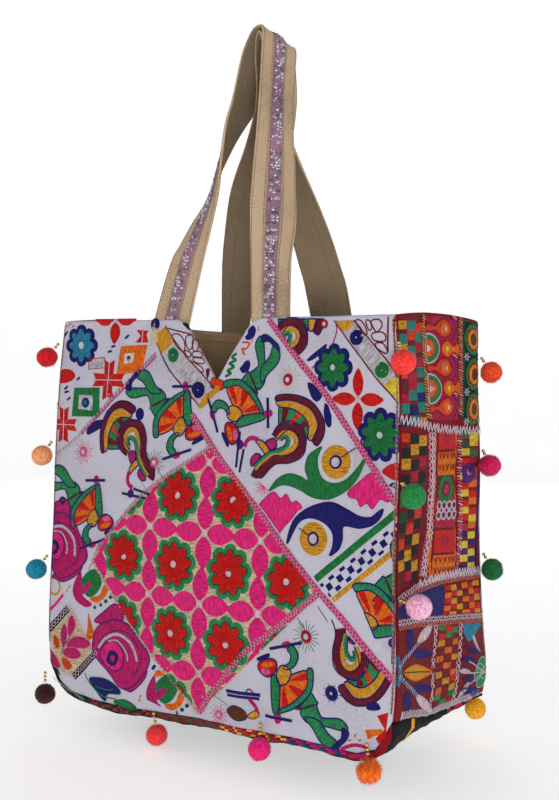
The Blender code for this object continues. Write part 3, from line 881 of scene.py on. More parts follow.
ROSE = ((-123, 51), """
fill magenta 0 purple -159,86 -146,98 -131,109 -120,105 -117,89 -137,86 | -122,14 -105,27 -89,41
 -78,42 -84,29 -101,14 -116,11
fill magenta 1 purple -160,62 -156,77 -141,88 -124,92 -107,88 -93,76 -80,65 -74,55 -78,43 -90,28
 -105,17 -118,17 -133,30 -147,41 -158,51
line white 3 3.4 -150,57 -141,68 -125,76 -108,73 -97,64 -92,50
line purple 2 1.6 -153,52 -143,71 -125,80 -105,79 -92,68 -86,56 -90,42 -102,29
line white 3 2 -136,66 -124,69 -114,64 -107,56 -106,48
fill pink 2 purple -147,51 -140,63 -128,68 -117,63 -112,52 -116,38 -127,34 -139,39
fill navy 3 - -137,49 -132,57 -123,56 -119,50 -123,41 -130,39 -137,43
fill magenta 4 - -132,50 -127,52 -124,49 -127,44 -131,45
""")
TULIP = ((-165, 122), """
fill magenta 0 - -194,121 -190,132 -182,142 -180,130 -181,120 -177,112 -164,105 -173,100 -187,105
 -193,113
fill orange 1 - -168,112 -153,117 -147,129 -141,125 -144,116 -155,108 -164,108
fill green 1 - -180,133 -170,143 -160,146 -153,139 -150,130 -156,120 -166,113 -174,114 -178,120
 -181,126
fill magenta 2 - -183,119 -176,127 -165,131 -167,124 -173,118 -178,115
line darkgreen 1 4 -161,101 -158,103 | -152,105 -149,107 | -145,110 -141,112 | -138,115 -135,118
""")
SWIRL = """
fill green 0 green 80,254 91,268 105,274 119,272 127,268 127,272 124,280 127,293 137,301 143,303
 139,294 139,284 144,273 154,268 166,269 176,275 186,286 192,295 193,291 185,273 172,260 156,252
 143,251 131,253 117,259 102,262 92,260
fill navy 0 navy 106,203 112,225 125,238 142,246 159,249 177,243 190,238 203,238 211,244 217,247
 214,238 205,230 191,226 178,227 173,225 173,214 169,203 159,196 162,206 162,217 156,225 145,230
 132,231 121,226 114,215 109,204
fill pink 0 magenta 67,236 77,248 87,254 96,248 103,253 110,245 116,247 123,241 118,237 111,228
 102,219 95,212 84,225 | 176,261 188,271 202,281 215,272 228,261 222,254 213,256 205,246 198,251
 191,247 186,254 178,255
"""

# front panel -----------------------------------------------------------------

front = Needlework("front")
sew(front, """
flat cream -1 - pad=0.62 turn=0.2 grid=3.4 1,300 62,244 146,155 -6,4 -60,47 -118,98 -168,155
 -160,174 -117,217 -75,252
""")
lattice(front, (-77, 204), (-2, 203), (-78, 128), DIAMOND)

# top left corner, and the strips beside the notch
TOP_LEFT = outline("-229,437 -91,437 -86,398 -192,302 -231,274 -240,300")
sew(front, """
flower teal/navy/navy 0 25 glass=4.6 -194,406
""")
cross(front, (-145, 436), 29.0, "red", wide=0.5, heart="white", clip=TOP_LEFT)
sew(front, """
fill red 0 - -227,372 -223,378 -210,377 -203,370 -210,364 -221,361 -227,362
""")
ARM = ((0, 0), (0.3, 0.3), (1, 0.34), (0.80, 0), (1, -0.34), (0.3, -0.3))
for at, arm in (((-151, 366), 24.0), ((-219, 312), 22.0)):
    for way in np.array(((1, 0), (0, 1), (-1, 0), (0, -1))) * arm:
        front.fill("red", [at + way * a + left_of(way) * b for a, b in ARM], smooth=False,
                   clip=TOP_LEFT)
        front.line("stitch", [at, at + way * 0.95], 1.1, 2, smooth=False, clip=TOP_LEFT)
sew(front, """
flat red 0 - -117,424 -100,423 -103,418 -99,409 -117,409 -111,417
run stitch 2 1.1 -108,423 -108,409
flat orange 1 - -135,405 -100,407 -105,375 -139,373
flat stitch 2 ochre -129,397 -115,398 -117,386 -130,384
disc brown 3 2.6 sides=12 -123,392
flat green 1 - -205,356 -163,357 -163,323 -206,322
flat white 2 - -196,348 -173,348 -173,330 -196,331
disc navy 3 6.4 sides=18 -184,339
disc aqua 4 3.2 sides=14 -184,339
flat pale 0 red -182,390 -159,392 -157,380 -182,378
specks ochre 0 1.8 -176,385 -170,387 -163,385
specks navy 0 3.2 turn=40 -146,405 -128,416 -198,367 -217,351 -218,356 -151,399 -213,343
specks ochre 0 2.5 turn=10 -217,429 -210,433
specks magenta 0 2 turn=10 -212,431 -207,429
specks navy 0 3 turn=70 -218,421 -221,418
flat pale 0 - pad=0.3 -92,416 -74,427 3,355 -22,338
flat ochre 1 - -92,416 -74,427 -60,410 -65,405 -79,396 | -24,340 -19,348 -5,357 3,355 -12,341
 -21,336
run darkred 2 1.5 -91,414 -64,378 -22,338 | -74,428 -39,391 3,355
button green 0 8.2 -60,395
button navy 0 9.2 -24,357
button navy 0 7 -90,430
loop darkred 1 1.5 -62,417 -52,418 -44,410 -45,399 -55,405 | -42,415 -34,417 -32,409 -36,401
 -41,405 | -33,411 -25,411 -25,403 -31,399 | -31,399 -21,398 -21,393 -33,394 | -32,392 -19,391
 -18,386 -29,387 | -34,388 -21,382 -18,377 -24,378 | -43,400 -36,398 -36,393 -42,395
run darkred 1 1.6 -69,425 -35,418
fill darkred 1 - -15,379 -9,380 -12,369
fill redorange 0 darkred -6,370 1,370 15,365 13,360 6,357 -6,360
disc ochre 2 4.2 sides=10 2,358
fill black 0 - -49,431 -41,430 -37,423 -44,426
line green 0 3.4 28,397 22,393 27,390 19,386 25,383 16,378 21,376 13,372
fill navy 0 - 38,388 43,390 46,385 43,378 36,376 32,381 35,384 | 41,423 47,427 51,422 48,414
 40,411 37,415 40,418
line redorange 0 2.2 34,409 43,408 39,402 34,402 38,395
specks ochre 0 2.4 turn=60 46,411 54,423 36,399
flat pale 0 - pad=0.3 152,430 175,430 230,373 231,348 205,373
flat ochre 1 - 153,430 174,430 169,419 161,420
flat yellow 1 - 212,366 227,376 230,372 231,351
run darkred 2 1.5 151,430 169,410 205,373 231,348 | 175,430 193,413 215,392 230,373
button navy 0 8 179,413
button green 0 8 211,381
loop darkred 1 1.5 177,429 185,429 192,418 187,416 | 197,429 206,430 210,424 204,418 199,423 |
 198,416 208,418 214,415 213,409 201,410 | 203,407 211,407 216,401 215,397 205,402 | 190,429
 195,429 198,422 194,420
run darkred 1 1.8 216,433 217,398
run darkred 1 1.4 222,433 223,409
""")

# left patch with figures
figure(front, DANCER, (-63, 333), 181)
figure(front, DANCER, (-184, 221), 184, 0.98,
       clip=outline("-234,350 -90,350 -27,269 -159,166 -234,160"))
figure(front, PEACOCK, (-120, 300), 88, 0.98)
sew(front, """
disc navy 0 6.4 sides=18 tall=1.15 -103,328
fill navy 0 - -153,324 -148,331 -140,337 -132,335 -133,329 -145,324 | -180,301 -180,310 -172,317
 -158,320 -157,312 -167,306
burst rosepink/pink 0 15 -186,281
burst rosepink/leaf 0 15 -77,275
line brown 0 0.9 -71,269 -64,256
line ochre 0 0.9 -96,254 -84,242
disc navy 0 5.6 sides=16 -217,221
""")

# middle patch between the ribbons
MIDDLE = outline("-12,412 67,431 235,250 238,84 -32,330")
figure(front, DANCER, (44, 352), 98)
sew(front, """
burst crimson/cream 0 16 count=20 97,370
""")
figure(front, PEACOCK)
sew(front, """
fill navy 0 - 121,367 128,366 139,359 139,352 134,348 127,353 | 143,346 148,345 153,334 153,325
 149,323 144,331
ring ochre 0 17 160,289 139,211
run brown 3 1.2 166,294 182,304 | 135,213 121,220
""")
sew(front, SWIRL, clip=MIDDLE, wide=0.8)
spokes(front, "rosepink", (73, 259), [math.radians(150 + 22 * k) for k in range(9)], 0, (9, 11),
       1.1, 0)
sew(front, """
flat green 0 - 139,172 234,252 235,243 146,168
flat ochre 0 - 159,152 235,216 236,209 164,149
""", clip=MIDDLE)
CHECK_BAND = outline("148,166 235,238 236,220 160,154")


def checks(work, band, size, gap=0.5):
    """Every other one of some small squares in rows, cut to a band and turned along it."""
    turn = math.atan2(*(band[1] - band[0])[::-1])
    ways = np.array((ray(turn), left_of(ray(turn))))
    reach = int(np.hypot(*(band.max(0) - band.min(0) + 2 * size)) / size / 2) + 1
    for i in range(-reach, reach + 1):
        for j in range(-reach + (i + reach) % 2, reach + 1, 2):
            centre = band.mean(0) + (i * size, j * size) @ ways
            square = [centre + np.array(corner) * (size - gap) / 2 @ ways
                      for corner in ((-1, -1), (1, -1), (1, 1), (-1, 1))]
            work.fill("navy", square, smooth=False, clip=band, pad=0.3, turn=0)


checks(front, CHECK_BAND, 7.6)
sew(front, """
fill navy 0 - 208,158 212,163 219,156 217,148 210,149
""")
figure(front, DANCER, (219, 156), 98, 1.02, clip=outline("235,243 243,67 238,76 160,152 171,173"))
sew(front, """
run navy 1 3 232,132 232,100
disc purple 2 4.4 231,120
line darkgreen 0 1 146,144 158,130
""")

# upper right patch
figure(front, PEACOCK, (96, 421), 8, 0.98, clip=outline("67,433 153,432 155,371 115,388"))
sew(front, """
disc crimson 1 4.8 138,427
mirror crimson 0 2.2 138,427
line magenta 0 2 153,426 154,419 146,401 125,382
fill navy 0 - 141,407 141,402 132,394 122,389 119,391 126,397
flower green/navy/navy 0 24.5 glass=3 152,383
flower green/navy/navy 0 27 count=9 glass=3.2 210,318
cross red 0 31 wide=0.42 183,352
fill red 0 - 213,283 219,289 228,292 236,290 237,277 229,275 219,278
specks navy 0 2.4 turn=20 226,272 229,270 224,270
""")

# lower right patch
figure(front, DANCER)
figure(front, PEACOCK, (193, 97), -108, 0.98, clip=outline("146,145 243,77 244,27 128,3"))
sew(front, """
burst crimson/leaf 0 17 count=20 132,111
line brown 0 1 121,129 130,118
disc navy 0 7.8 sides=18 165,60
burst navy/navy 0 10 count=16 165,60
line navy 0 1.2 174,60 181,59
fill navy 0 - 205,58 211,62 218,60 221,55 214,52 206,52
run navy 0 4 33,39 78,42
run navy 0 3.4 35,35 77,38
line purple 1 1.6 60,42 63,46 68,44 67,40
line magenta 1 4.4 64,36 72,29 76,22
fill ochre 1 brown 63,18 72,25 77,21 70,16
fill brown 0 purple 36,20 46,26 59,23 62,15 51,11 40,14
burst rosepink/pink 0 12 count=14 25,12
line green 0 0.8 16,32 36,24
flat orange 0 - 203,31 222,36 225,31 214,27 206,21
flat red 0 - 217,48 229,53 226,28 218,20 215,25 225,36
specks orange 0 2 turn=40 192,23 186,17 178,12 197,19
line magenta 0 4 176,6 190,13 205,13 203,5 184,1
""")

# lower left patches
LOW_LEFT = outline("-240,235 -159,165 -8,7 -40,0 -226,40")
figure(front, ROSE, clip=LOW_LEFT)
figure(front, ROSE, (-220, 167), -14, 0.98,
       clip=outline("-227,262 -186,201 -159,165 -157,111 -229,130"))
figure(front, TULIP)
figure(front, TULIP, (-50, 18), 0, 1.02, clip=LOW_LEFT)
sew(front, """
fill orange 0 - -170,95 -165,86 -160,75 -158,70 -166,63 -172,66 -170,78
flat cream -1 - pad=0.34 -235,68 -204,96 -195,91 -177,73 -162,57 -159,52 -194,15 -211,17 -229,31
fill magenta 0 rosepink -209,48 -213,64 -208,76 -202,69 -203,55 | -199,64 -201,79 -195,88 -189,79
 -192,69 | -201,51 -194,61 -179,65 -164,60 -171,53 -187,51 | -209,42 -201,49 -187,51 -178,44
 -187,38 -201,38 | -238,42 -232,43 -221,34 -214,24 -222,22 -234,29
fill redorange 0 ochre -225,60 -218,57 -215,49 -220,44 -225,50 | -211,34 -201,36 -192,29 -199,23
 -208,27
line darkgreen 0 1.4 -214,39 -199,59 -195,67
line darkgreen 0 2.6 -229,31 -221,22 -214,14
run black 0 9 -235,64 -218,80 -201,96
chain stitch 2 0.9 step=3.4 reach=2.6 -235,64 -218,80 -201,96
run black 0 9 -190,16 -171,34 -152,52
chain stitch 2 0.9 step=3.4 reach=2.6 -190,16 -171,34 -152,52
run pink 0 4 -235,87 -221,99 -209,111
line leaf 1 1.6 -172,23 -164,14 -144,2 -127,1 -97,-2
fill navy 0 green -164,19 -144,23 -127,19 -117,13 -118,8 -136,5 -140,-4 -153,6
line leaf 3 1.2 -153,12 -136,10 -127,13
fill green 0 darkgreen -127,-2 -110,3 -94,-3 -105,-7 -118,-6
""")
front.line("ochre", ring_points((-225, 119), 10.0, 18), 3.2, 0, closed=True)
sew(front, """
specks ochre 0 2.4 turn=60 -166,152 -169,147 -199,122 -203,117 -60,41 -63,38 -88,11 -89,6
fill orange 0 - -68,38 -63,45 -53,42 -59,38
fill navy 0 - -181,153 -176,159 -172,159 -176,152 | -72,45 -68,50 -65,49 -68,44
stitches stitch/magenta/stitch/rosepink 2 2.4 step=1.9 0,297 -74,251 -115,216 -162,165
stitches stitch/rosepink 2 1.9 step=3 -165,156 -116,100 -58,49 -6,8
stitches magenta/stitch/rosepink 2 2.2 step=1.9 -88,396 -192,302
run magenta 1 1.6 -85,394 -189,302
stitches stitch/salmon 2 1.8 step=2.6 -192,302 -231,274
stitches stitch 2 1.4 step=3.4 -241,10 -217,6 -171,-8
stitches stitch/salmon 2 1.6 step=3 -198,98 -176,73
""")

# ribbons and edges
for path in RIBBONS:
    ribbon(front, path)
worked_edges(front, 0.052, 0.430)
front.lay("front_embroidery")


# gussets ---------------------------------------------------------------------

SEED = """
fill redorange 2 maroon -30,4 -14,2 0,8 14,10 24,4 26,-3 14,-9 0,-7 -14,-2 -30,-4
fill orange 4 - 4,4 14,6 20,0 14,-5 4,-4
disc stitch 5 2.6 sides=8 13,0
"""
LEAF = """
fill orange 2 redorange 44,6 30,2 18,8 8,5 4,0 8,-5 18,-8 30,-3 44,-6
disc yellow 4 3.4 sides=10 16,0
"""
SUN = """
disc green 2 19 sides=18 tall=0.92 78,0
disc darkred 3 16 sides=18 tall=0.86 78,0
disc ochre 4 12.5 sides=18 tall=0.88 78,0
disc brown 5 8 sides=14 tall=0.9 78,0
"""
MARK = """
run darkred 4 1.6 -3,4 0,-2 3,4
run ochre 4 1.5 -4,-5 4,-5
"""


def carried(across, up):
    return lambda points: points + (across, up)


def edge_points(side, height, shares, drop):
    """Points along a gusset's rim or seam, in mm."""
    return [(u, 1000 * float(height(side, u / 103.0)) - drop) for u in shares]


def patchwork(work, rows, corners, level=0):
    """Stitched squares in rows between four corners, top left first."""
    rows = rows.split()
    a, b, c, d = outline(corners)
    wide, tall = len(rows[0]), len(rows)

    def spot(i, j):
        x, y = min(max(i / wide, 0.01), 0.99), min(max(j / tall, 0.002), 0.998)
        return (a * (1 - x) + b * x) * (1 - y) + (d * (1 - x) + c * x) * y

    for j, row in enumerate(rows):
        for i, letter in enumerate(row):
            high = j + 0.10 * ((i * 7 + j * 3) % 5 - 2) + 0.04
            low = high + 0.93
            work.fill(LETTERS[letter], [spot(i, high), spot(i + 1, high), spot(i + 1, low),
                      spot(i, low)], level, smooth=False, pad=0.4, turn=1.57 * ((i + j) % 2))


def gusset(side):
    """Three worked columns over three more, a band, and three embroidered panels."""
    work = Needlework(side)
    for colour, level, pad, low, high, drop, foot in (
            ("darkred", -1, 0.4, -101, -40, 1, "-34,331 -101,331"),
            ("crimson", 0, PAD, -31, 46, 1, "42,328 -33,331"),
            ("darkgreen", 0, PAD, 56, 101, 1, "101,323 50,327"),
            ("black", 1, PAD, 60, 97, 3, "97,325 56,328")):
        rim = edge_points(side, rim_height, np.linspace(low, high, 5), drop)
        work.fill(colour, [*rim, *outline(foot)], level, smooth=False, pad=pad)
    patchwork(work, "oar ara oac cac rca mca can ana nao", "-99,429 -38,432 -37,324 -98,326")
    for z in (403, 362):
        for colour, level, edge, wide, reach, tall, steps in (
                ("green", 2, "white", 2.2, 30, 15, 9), ("orange", 3, "redorange", 1.0, 17, 9, 7)):
            arch = [(-31 + reach * math.sin(t), z + tall * math.cos(t))
                    for t in np.linspace(0.15, math.pi - 0.15, steps)]
            work.fill(colour, [(-31, z + tall), *arch, (-31, z - tall)], level, smooth=False,
                      edge=edge, wide=wide)
        sew(work, "flat stitch 4 - -30,4 -20,0 -30,-4", carried(0, z))
    for z in (424, 383, 342):
        sew(work, SEED, carried(0, z))
        for k, colour in ((0, "magenta"), (7, "purple"), (12, "crimson")):
            x, tall = 24 + k * 0.4, 10 + k / 3
            work.line(colour, ((x, z + tall), (34 + k * 0.6, z), (x, z - tall)), 3.0, 2)
        sew(work, "run stitch 4 1.2 27,15 38,11", carried(0, z))
    for z in (403, 362):
        sew(work, LEAF, carried(0, z))
    for z in (414, 376, 338):
        sew(work, SUN, carried(0, z))
        spokes(work, "orange", (78, z), [a * 0.524 for a in range(12)], 9, (15.5, 15.5), 0.9, 5,
               0.87)
        mirror(work, (78, z), 4.6, "yellow")
    for z in (395, 357, 325):
        for x in (61, 96):
            spokes(work, "white", (x, z), [k * 1.05 for k in range(6)], 1.3, (6.5, 6.5), 1.6, 3,
                   0.7)
    sew(work, """
run brown 0 7 -38,436 -35,331
stitches ochre/cream/ochre 2 4.2 step=3 wide=1.3 lean=1.2 -38,436 -35,331
run maroon 0 7 51,436 46,331
stitches salmon/cream/salmon 2 4.2 step=3 wide=1.3 lean=1.2 51,436 46,331
flat darkred -1 - pad=0.4 -102,322 -36,320 -34,239 -57,169 -101,168
""")
    patchwork(work, "rko kok okc kck ckd gkg dkr krk rko kok oko mck",
              "-97,321 -40,319 -56,172 -98,171")
    sew(work, """
flat orange 0 - -24,319 41,316 28,162 -33,170
flat darkred 1 - -20,318 35,315 24,163 -28,170
flat red 2 - -14,320 34,319 32,297 -16,300
flat orange 2 - -16,297 32,295 31,270 -17,273
flat crimson 2 - -22,252 30,248 30,215 -21,220
flat red 2 - -22,218 29,213 26,189 -24,195
flat orange 2 - -24,193 26,187 21,164 -28,171
disc crimson 3 9 sides=14 tall=0.75 8,309 2,204
""")
    for at in outline("-10,292 0,291 10,291 21,290 28,290 -11,280 -1,279 10,279 20,278 27,278"
                      " -19,186 -9,185 2,184 12,183 20,182 -21,176 -11,174 -1,173 9,172 18,171"):
        sew(work, MARK, carried(*at))
    sew(work, """
disc green 3 19 tall=0.74 5,258
disc darkred 4 11 sides=18 tall=0.74 5,258
""")
    spokes(work, "leaf", (5, 258), [a * 0.393 for a in range(16)], 11, (20, 20), 1.3, 5, 0.74)
    sew(work, "disc magenta 6 7 sides=14 tall=0.74 5,258")
    for at in outline("-10,242 2,241 14,240 26,239 -11,232 1,231 14,230 26,229"):
        work.line("white", ring_points(at, 5.2, 8, 0.8), 2.4, 4, closed=True)
        work.line("black", ring_points(at, 2.0, 6, 0.8), 1.6, 3, closed=True)
    patchwork(work, "gy dy yg ec pr ye eO ye eO ye ey cO ny yn py yn ny",
              "51,314 94,313 87,159 41,165")
    sew(work, """
run navy 0 6 98,312 92,158
disc purple 3 16 tall=0.72 68,269
mirror navy 0 5.4 68,269
chain stitch 1 1.5 step=3.4 reach=3.4 -32,318 -31,228 -47,175 | -27,318 -26,228 -42,174
stitches rosepink/salmon 2 3 step=4 wide=1.3 lean=1 -36,319 -36,229 -53,174
stitches stitch/salmon/rosepink 2 5.5 step=3.4 wide=1.4 lean=1.2 45,315 45,213 32,163
zigzag stitch 5 4.6 step=4.6 wide=1.6 -98,334 -64,330 -34,324 11,319 55,316 99,314
flat navy 0 - -101,164 -62,165 3,161 2,124 -102,139
specks purple 0 4 -30,148 -22,139 -13,149 -38,139 -9,139
flat darkred -1 - pad=0.3 1,159 100,150 100,106 -1,124
""")
    patchwork(work, "eoxOeo OeoxOe eoxOeo OeoxOe eoxOeo", "3,157 99,147 98,109 1,125", 1)
    for path in outlines("-101,161 -78,164 -56,167 -8,167 48,162 97,156"
                         " | -102,139 -56,133 -10,125 48,116 100,107"):
        work.line("maroon", path, 8.0, 2)
        chain(work, path, "stitch", 1.4, 3.4, 2.6, 4)
        chain(work, path - (0, 5), "salmon", 1.2, 3.8, 1.8, 4)
    sew(work, "zigzag stitch 5 4 step=4.4 wide=1.4 -56,169 -8,169 48,165 97,159")
    foot = edge_points(side, seam_height, (101, 60, 20, -20, -60, -101), -4)
    work.fill("darkred", [*outline("-102,137 -10,122 101,103"), *foot], -1, smooth=False, pad=0.5,
              grid=7.0)
    sew(work, """
fill ochre 1 orange wide=1.4 -94,89 -81,91 -62,89 -41,81 -27,73 -41,72 -62,73 -81,80
line brown 3 1.1 -93,89 -30,74
fill navy 1 purple -77,130 -70,122 -70,113 -78,107 -85,115 -85,125 | -72,102 -59,104 -40,99 -24,91
 -40,91 -59,95 | -72,68 -60,68 -41,63 -25,56 -41,56 -60,60 | -86,68 -77,60 -76,51 -83,47 -92,56
 -93,63
fill pearl 1 white -60,110 -56,117 -43,122 -28,123 -31,116 -42,110 | -65,58 -50,53 -33,41 -23,29
 -42,37 -57,47
line teal 1 9 -107,107 -102,97 -102,87 -107,79
line teal 1 4.6 -102,97 -89,102 -73,106 -56,110
stitches stitch/navy 3 2.2 step=3 wide=1 lean=0.8 -102,97 -89,102 -73,106 -56,110
line teal 1 4.6 -102,87 -88,76 -74,66 -61,56
stitches stitch/navy 3 2.2 step=3 wide=1 lean=0.8 -102,87 -88,76 -74,66 -61,56
""")
    patchwork(work, "lel elx oxO xOx Oxo xOx oxO xoe Oxo lxg xle", "-8,118 41,109 22,28 -24,32")
    sew(work, """
run darkred 0 6 -14,120 -30,31
chain stitch 2 1.5 step=3.4 reach=3.2 -14,120 -30,31
run darkred 0 6 46,110 25,27
chain stitch 2 1.5 step=3.4 reach=3.2 46,110 25,27
disc leaf 2 12 sides=16 edge=white wide=1.2 tall=0.75 92,53
disc leaf 2 13 sides=16 edge=white wide=1.2 tall=0.75 85,46
disc leaf 2 12 sides=16 edge=white wide=1.2 tall=0.75 98,34
disc leaf 2 10 sides=16 edge=white wide=1.2 tall=0.75 103,42
run white 5 1.6 102,42 55,66 | 102,42 49,54 | 102,42 58,39
fill white 2 - 36,59 49,59 62,52 48,53
fill teal 2 - 49,107 72,104 96,99 81,92 58,87
fill white 2 - 66,97 76,89 85,75 91,68 79,76 69,88 | 38,28 46,36 60,42 55,31
fill navy 2 purple 51,84 68,78 85,67 65,73 | 44,72 58,71 71,63 54,64 | 46,47 62,41 76,42 60,47
 | 43,37 56,29 75,29 58,36 | 65,26 83,18 97,22 80,28
""")
    edge = np.array([(1000 * u, 1000 * (float(seam_height(side, u / 0.1)) + 0.003))
                     for u in np.linspace(-0.098, 0.098, 14)])
    stitches(work, edge, "white/stitch", 4.0, 5.4, 1.7, 1.0)
    work.line("white", edge - (0, 3), 1.3, 2)
    for sign, colour in ((-1, "darkred"), (1, "black")):
        work.line(colour, side_edge(side, sign, 1.5, 0.05, 0.432), 1.8, 1, smooth=False)
    work.lay(side + "_gusset_embroidery")


gusset("right")
gusset("left")

# back panel ------------------------------------------------------------------

back = Needlework("back")
sew(back, "flat cream -1 - pad=0.62 turn=0.2 grid=4.5 0,321 131,188 0,55 -131,188")
lattice(back, (0.0, 188.0), (62.0, 188.0), (0.0, 126.0), BACK_DIAMOND, 36.5, 28.0)
for sign in (-1, 1):
    for charted, x, z, turn, scale in ((DANCER, 168, 326, -90 * sign, 1.05),
                                       (PEACOCK, 178, 205, 0, 0.95), (ROSE, 92, 62, 0, 0.8)):
        figure(back, charted, (sign * x, z), turn, scale, sign > 0)
    sew(back, """
flower green/navy/navy 0 23 84,346
flower teal/navy/navy 0 25 glass=4.2 194,84
cross red 0 19 turn=45 208,142
cross pink 0 15 176,40
cross red 0 17 turn=45 92,398
button navy 0 9 215,398
burst crimson/leaf 0 12 104,276 40,44 216,268 52,300 140,128
""", lambda points: points * (sign, 1))
sew(back, """
specks navy 0 3.6 turn=40 -140,400 -120,300 140,400 120,300 -150,150 150,150 -40,380 40,380
 -212,180 212,180 -140,60 140,60
""")
for path in SEAMS["back"][:3]:
    ribbon(back, path)
for path in SEAMS["back"][3:]:
    stitches(back, path, "stitch/magenta/rosepink", 2.4, 1.9)
worked_edges(back, 0.022, 0.425)
back.lay("back_embroidery")

# cloth walls -----------------------------------------------------------------

FRONT_STEP, BACK_STEP, LINING_STEP = ((2.5, 3.1, 8.0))


def wall(name, side, cloth, cad, step=BACK_STEP, inset=0.0, drop=0.0,
         soft=1.0, thick=0.0018):
    """One cloth wall, cut to its seam below and its rim above."""
    half = float(panel_width(side, 0.1)) - inset
    shares = np.linspace(-1, 1, int(2 * half * 1000 / step) + 1)
    if side in BROAD:
        notch = np.array([x for x, _ in NOTCH]) * NOTCH_HALF / half
        shares = np.unique(np.round(np.concatenate((shares, notch, -notch)), 5))
    count = int(430 / step) + 1
    share, row = np.meshgrid(shares, np.linspace(0, 1, count))
    low = seam_height(side, share)
    z = low + (rim_height(side, share) - drop - low) * row
    u = share * (panel_width(side, z) - inset)
    build(name, surface(side, u, z, 0.0, inset, soft).reshape(-1, 3),
          grid_faces(count, len(shares), flip=(side in ("back", "left")) != (inset > 0)),
          np.stack((u.ravel(), z.ravel()), 1) * 1000, [cloth], cad=cad, thick=thick)


ground = weave("ground_cloth", COLOURS["white"], 0.8, 1.10, 0.86)
backing = weave("back_cloth", COLOURS["pale"], 0.8, 1.10, 0.80)
side_cloth = weave("side_cloth", COLOURS["darkred"], 0.9, 1.3, 0.7)
canvas = weave("strap_cloth", COLOURS["canvas"], 1.1, 1.20, 0.76)
inner_canvas = weave("lining_cloth", COLOURS["lining"], 1.0, 1.25, 0.70)
wall("front_cloth", "front", ground, "front_panel", step=FRONT_STEP)
wall("back_cloth", "back", backing, "back_panel")
for side in ("right", "left"):
    wall(side + "_gusset_cloth", side, side_cloth, side + "_gusset")
for side in ("front", "back", "left", "right"):
    wall("lining_" + side, side, inner_canvas, "lining" if side == "front" else None,
         LINING_STEP, LINING_INSET, LINING_DROP, 0.6, 0.0011)


def columns_round(broad, narrow):
    """Sides and shares in the order that runs round the bag, with the steps of each side."""
    for side in ROUND:
        shares = np.linspace(-1, 1, (broad if side in BROAD else narrow) + 1)[:-1]
        for share in shares if side in ("front", "right") else -shares:
            yield side, share


def rim_hem():
    """The rim: outer cloth turned over into the lining."""
    profile = ((0.0, -0.0030), (-0.0004, 0.0002), (0.0006, 0.0016), (0.0026, 0.0020),
               (0.0046, 0.0010), (0.0062, -0.0020), (0.0068, -0.0100), (0.0078, -0.0104))
    wide, turned = len(profile), 3
    columns = list(columns_round(180, 60))
    points, uv = [], []
    run = 0.0
    for side, share in columns:
        rim = float(rim_height(side, share))
        for k, (inset, rise) in enumerate(profile):
            inward = max(inset, 0.0)
            u = share * (float(panel_width(side, rim + rise)) - inward)
            wobble = 0.0003 * math.sin(run * 900 + k) if k > 4 else 0.0
            points.append(surface(side, u, rim + rise, inward - inset - wobble, inward))
            uv.append((run * 1000, (inset + rise) * 1000))
        if len(points) > wide:
            run += float(np.linalg.norm(points[-wide] - points[-2 * wide]))
    faces, which = [], []
    for i, (side, _) in enumerate(columns):
        a, b = i * wide, (i + 1) % len(columns) * wide
        for k in range(wide - 1):
            faces.append((a + k, b + k, b + k + 1, a + k + 1))
            which.append((0 if side in BROAD else 2) if k < turned else 1)
    build("rim_hem", points, faces, uv, [ground, inner_canvas, side_cloth], which)


rim_hem()

# the base's pieced cloths, as colour letters up to a share of each side
BASE_CLOTHS = {
    "front": ((-0.75, "kdk"), (-0.35, "kckd"), (0.1, "mdbm"), (0.5, "modc"), (0.8, "ncpd"),
              (1.1, "cxm")),
    "right": ((-0.66, "k"), (-0.58, "o"), (0.1, "k"), (0.7, "mkc"), (1.1, "k")),
    "back": ((1.1, "kmdkc"),),
    "left": ((-0.5, "ko"), (1.1, "km")),
}


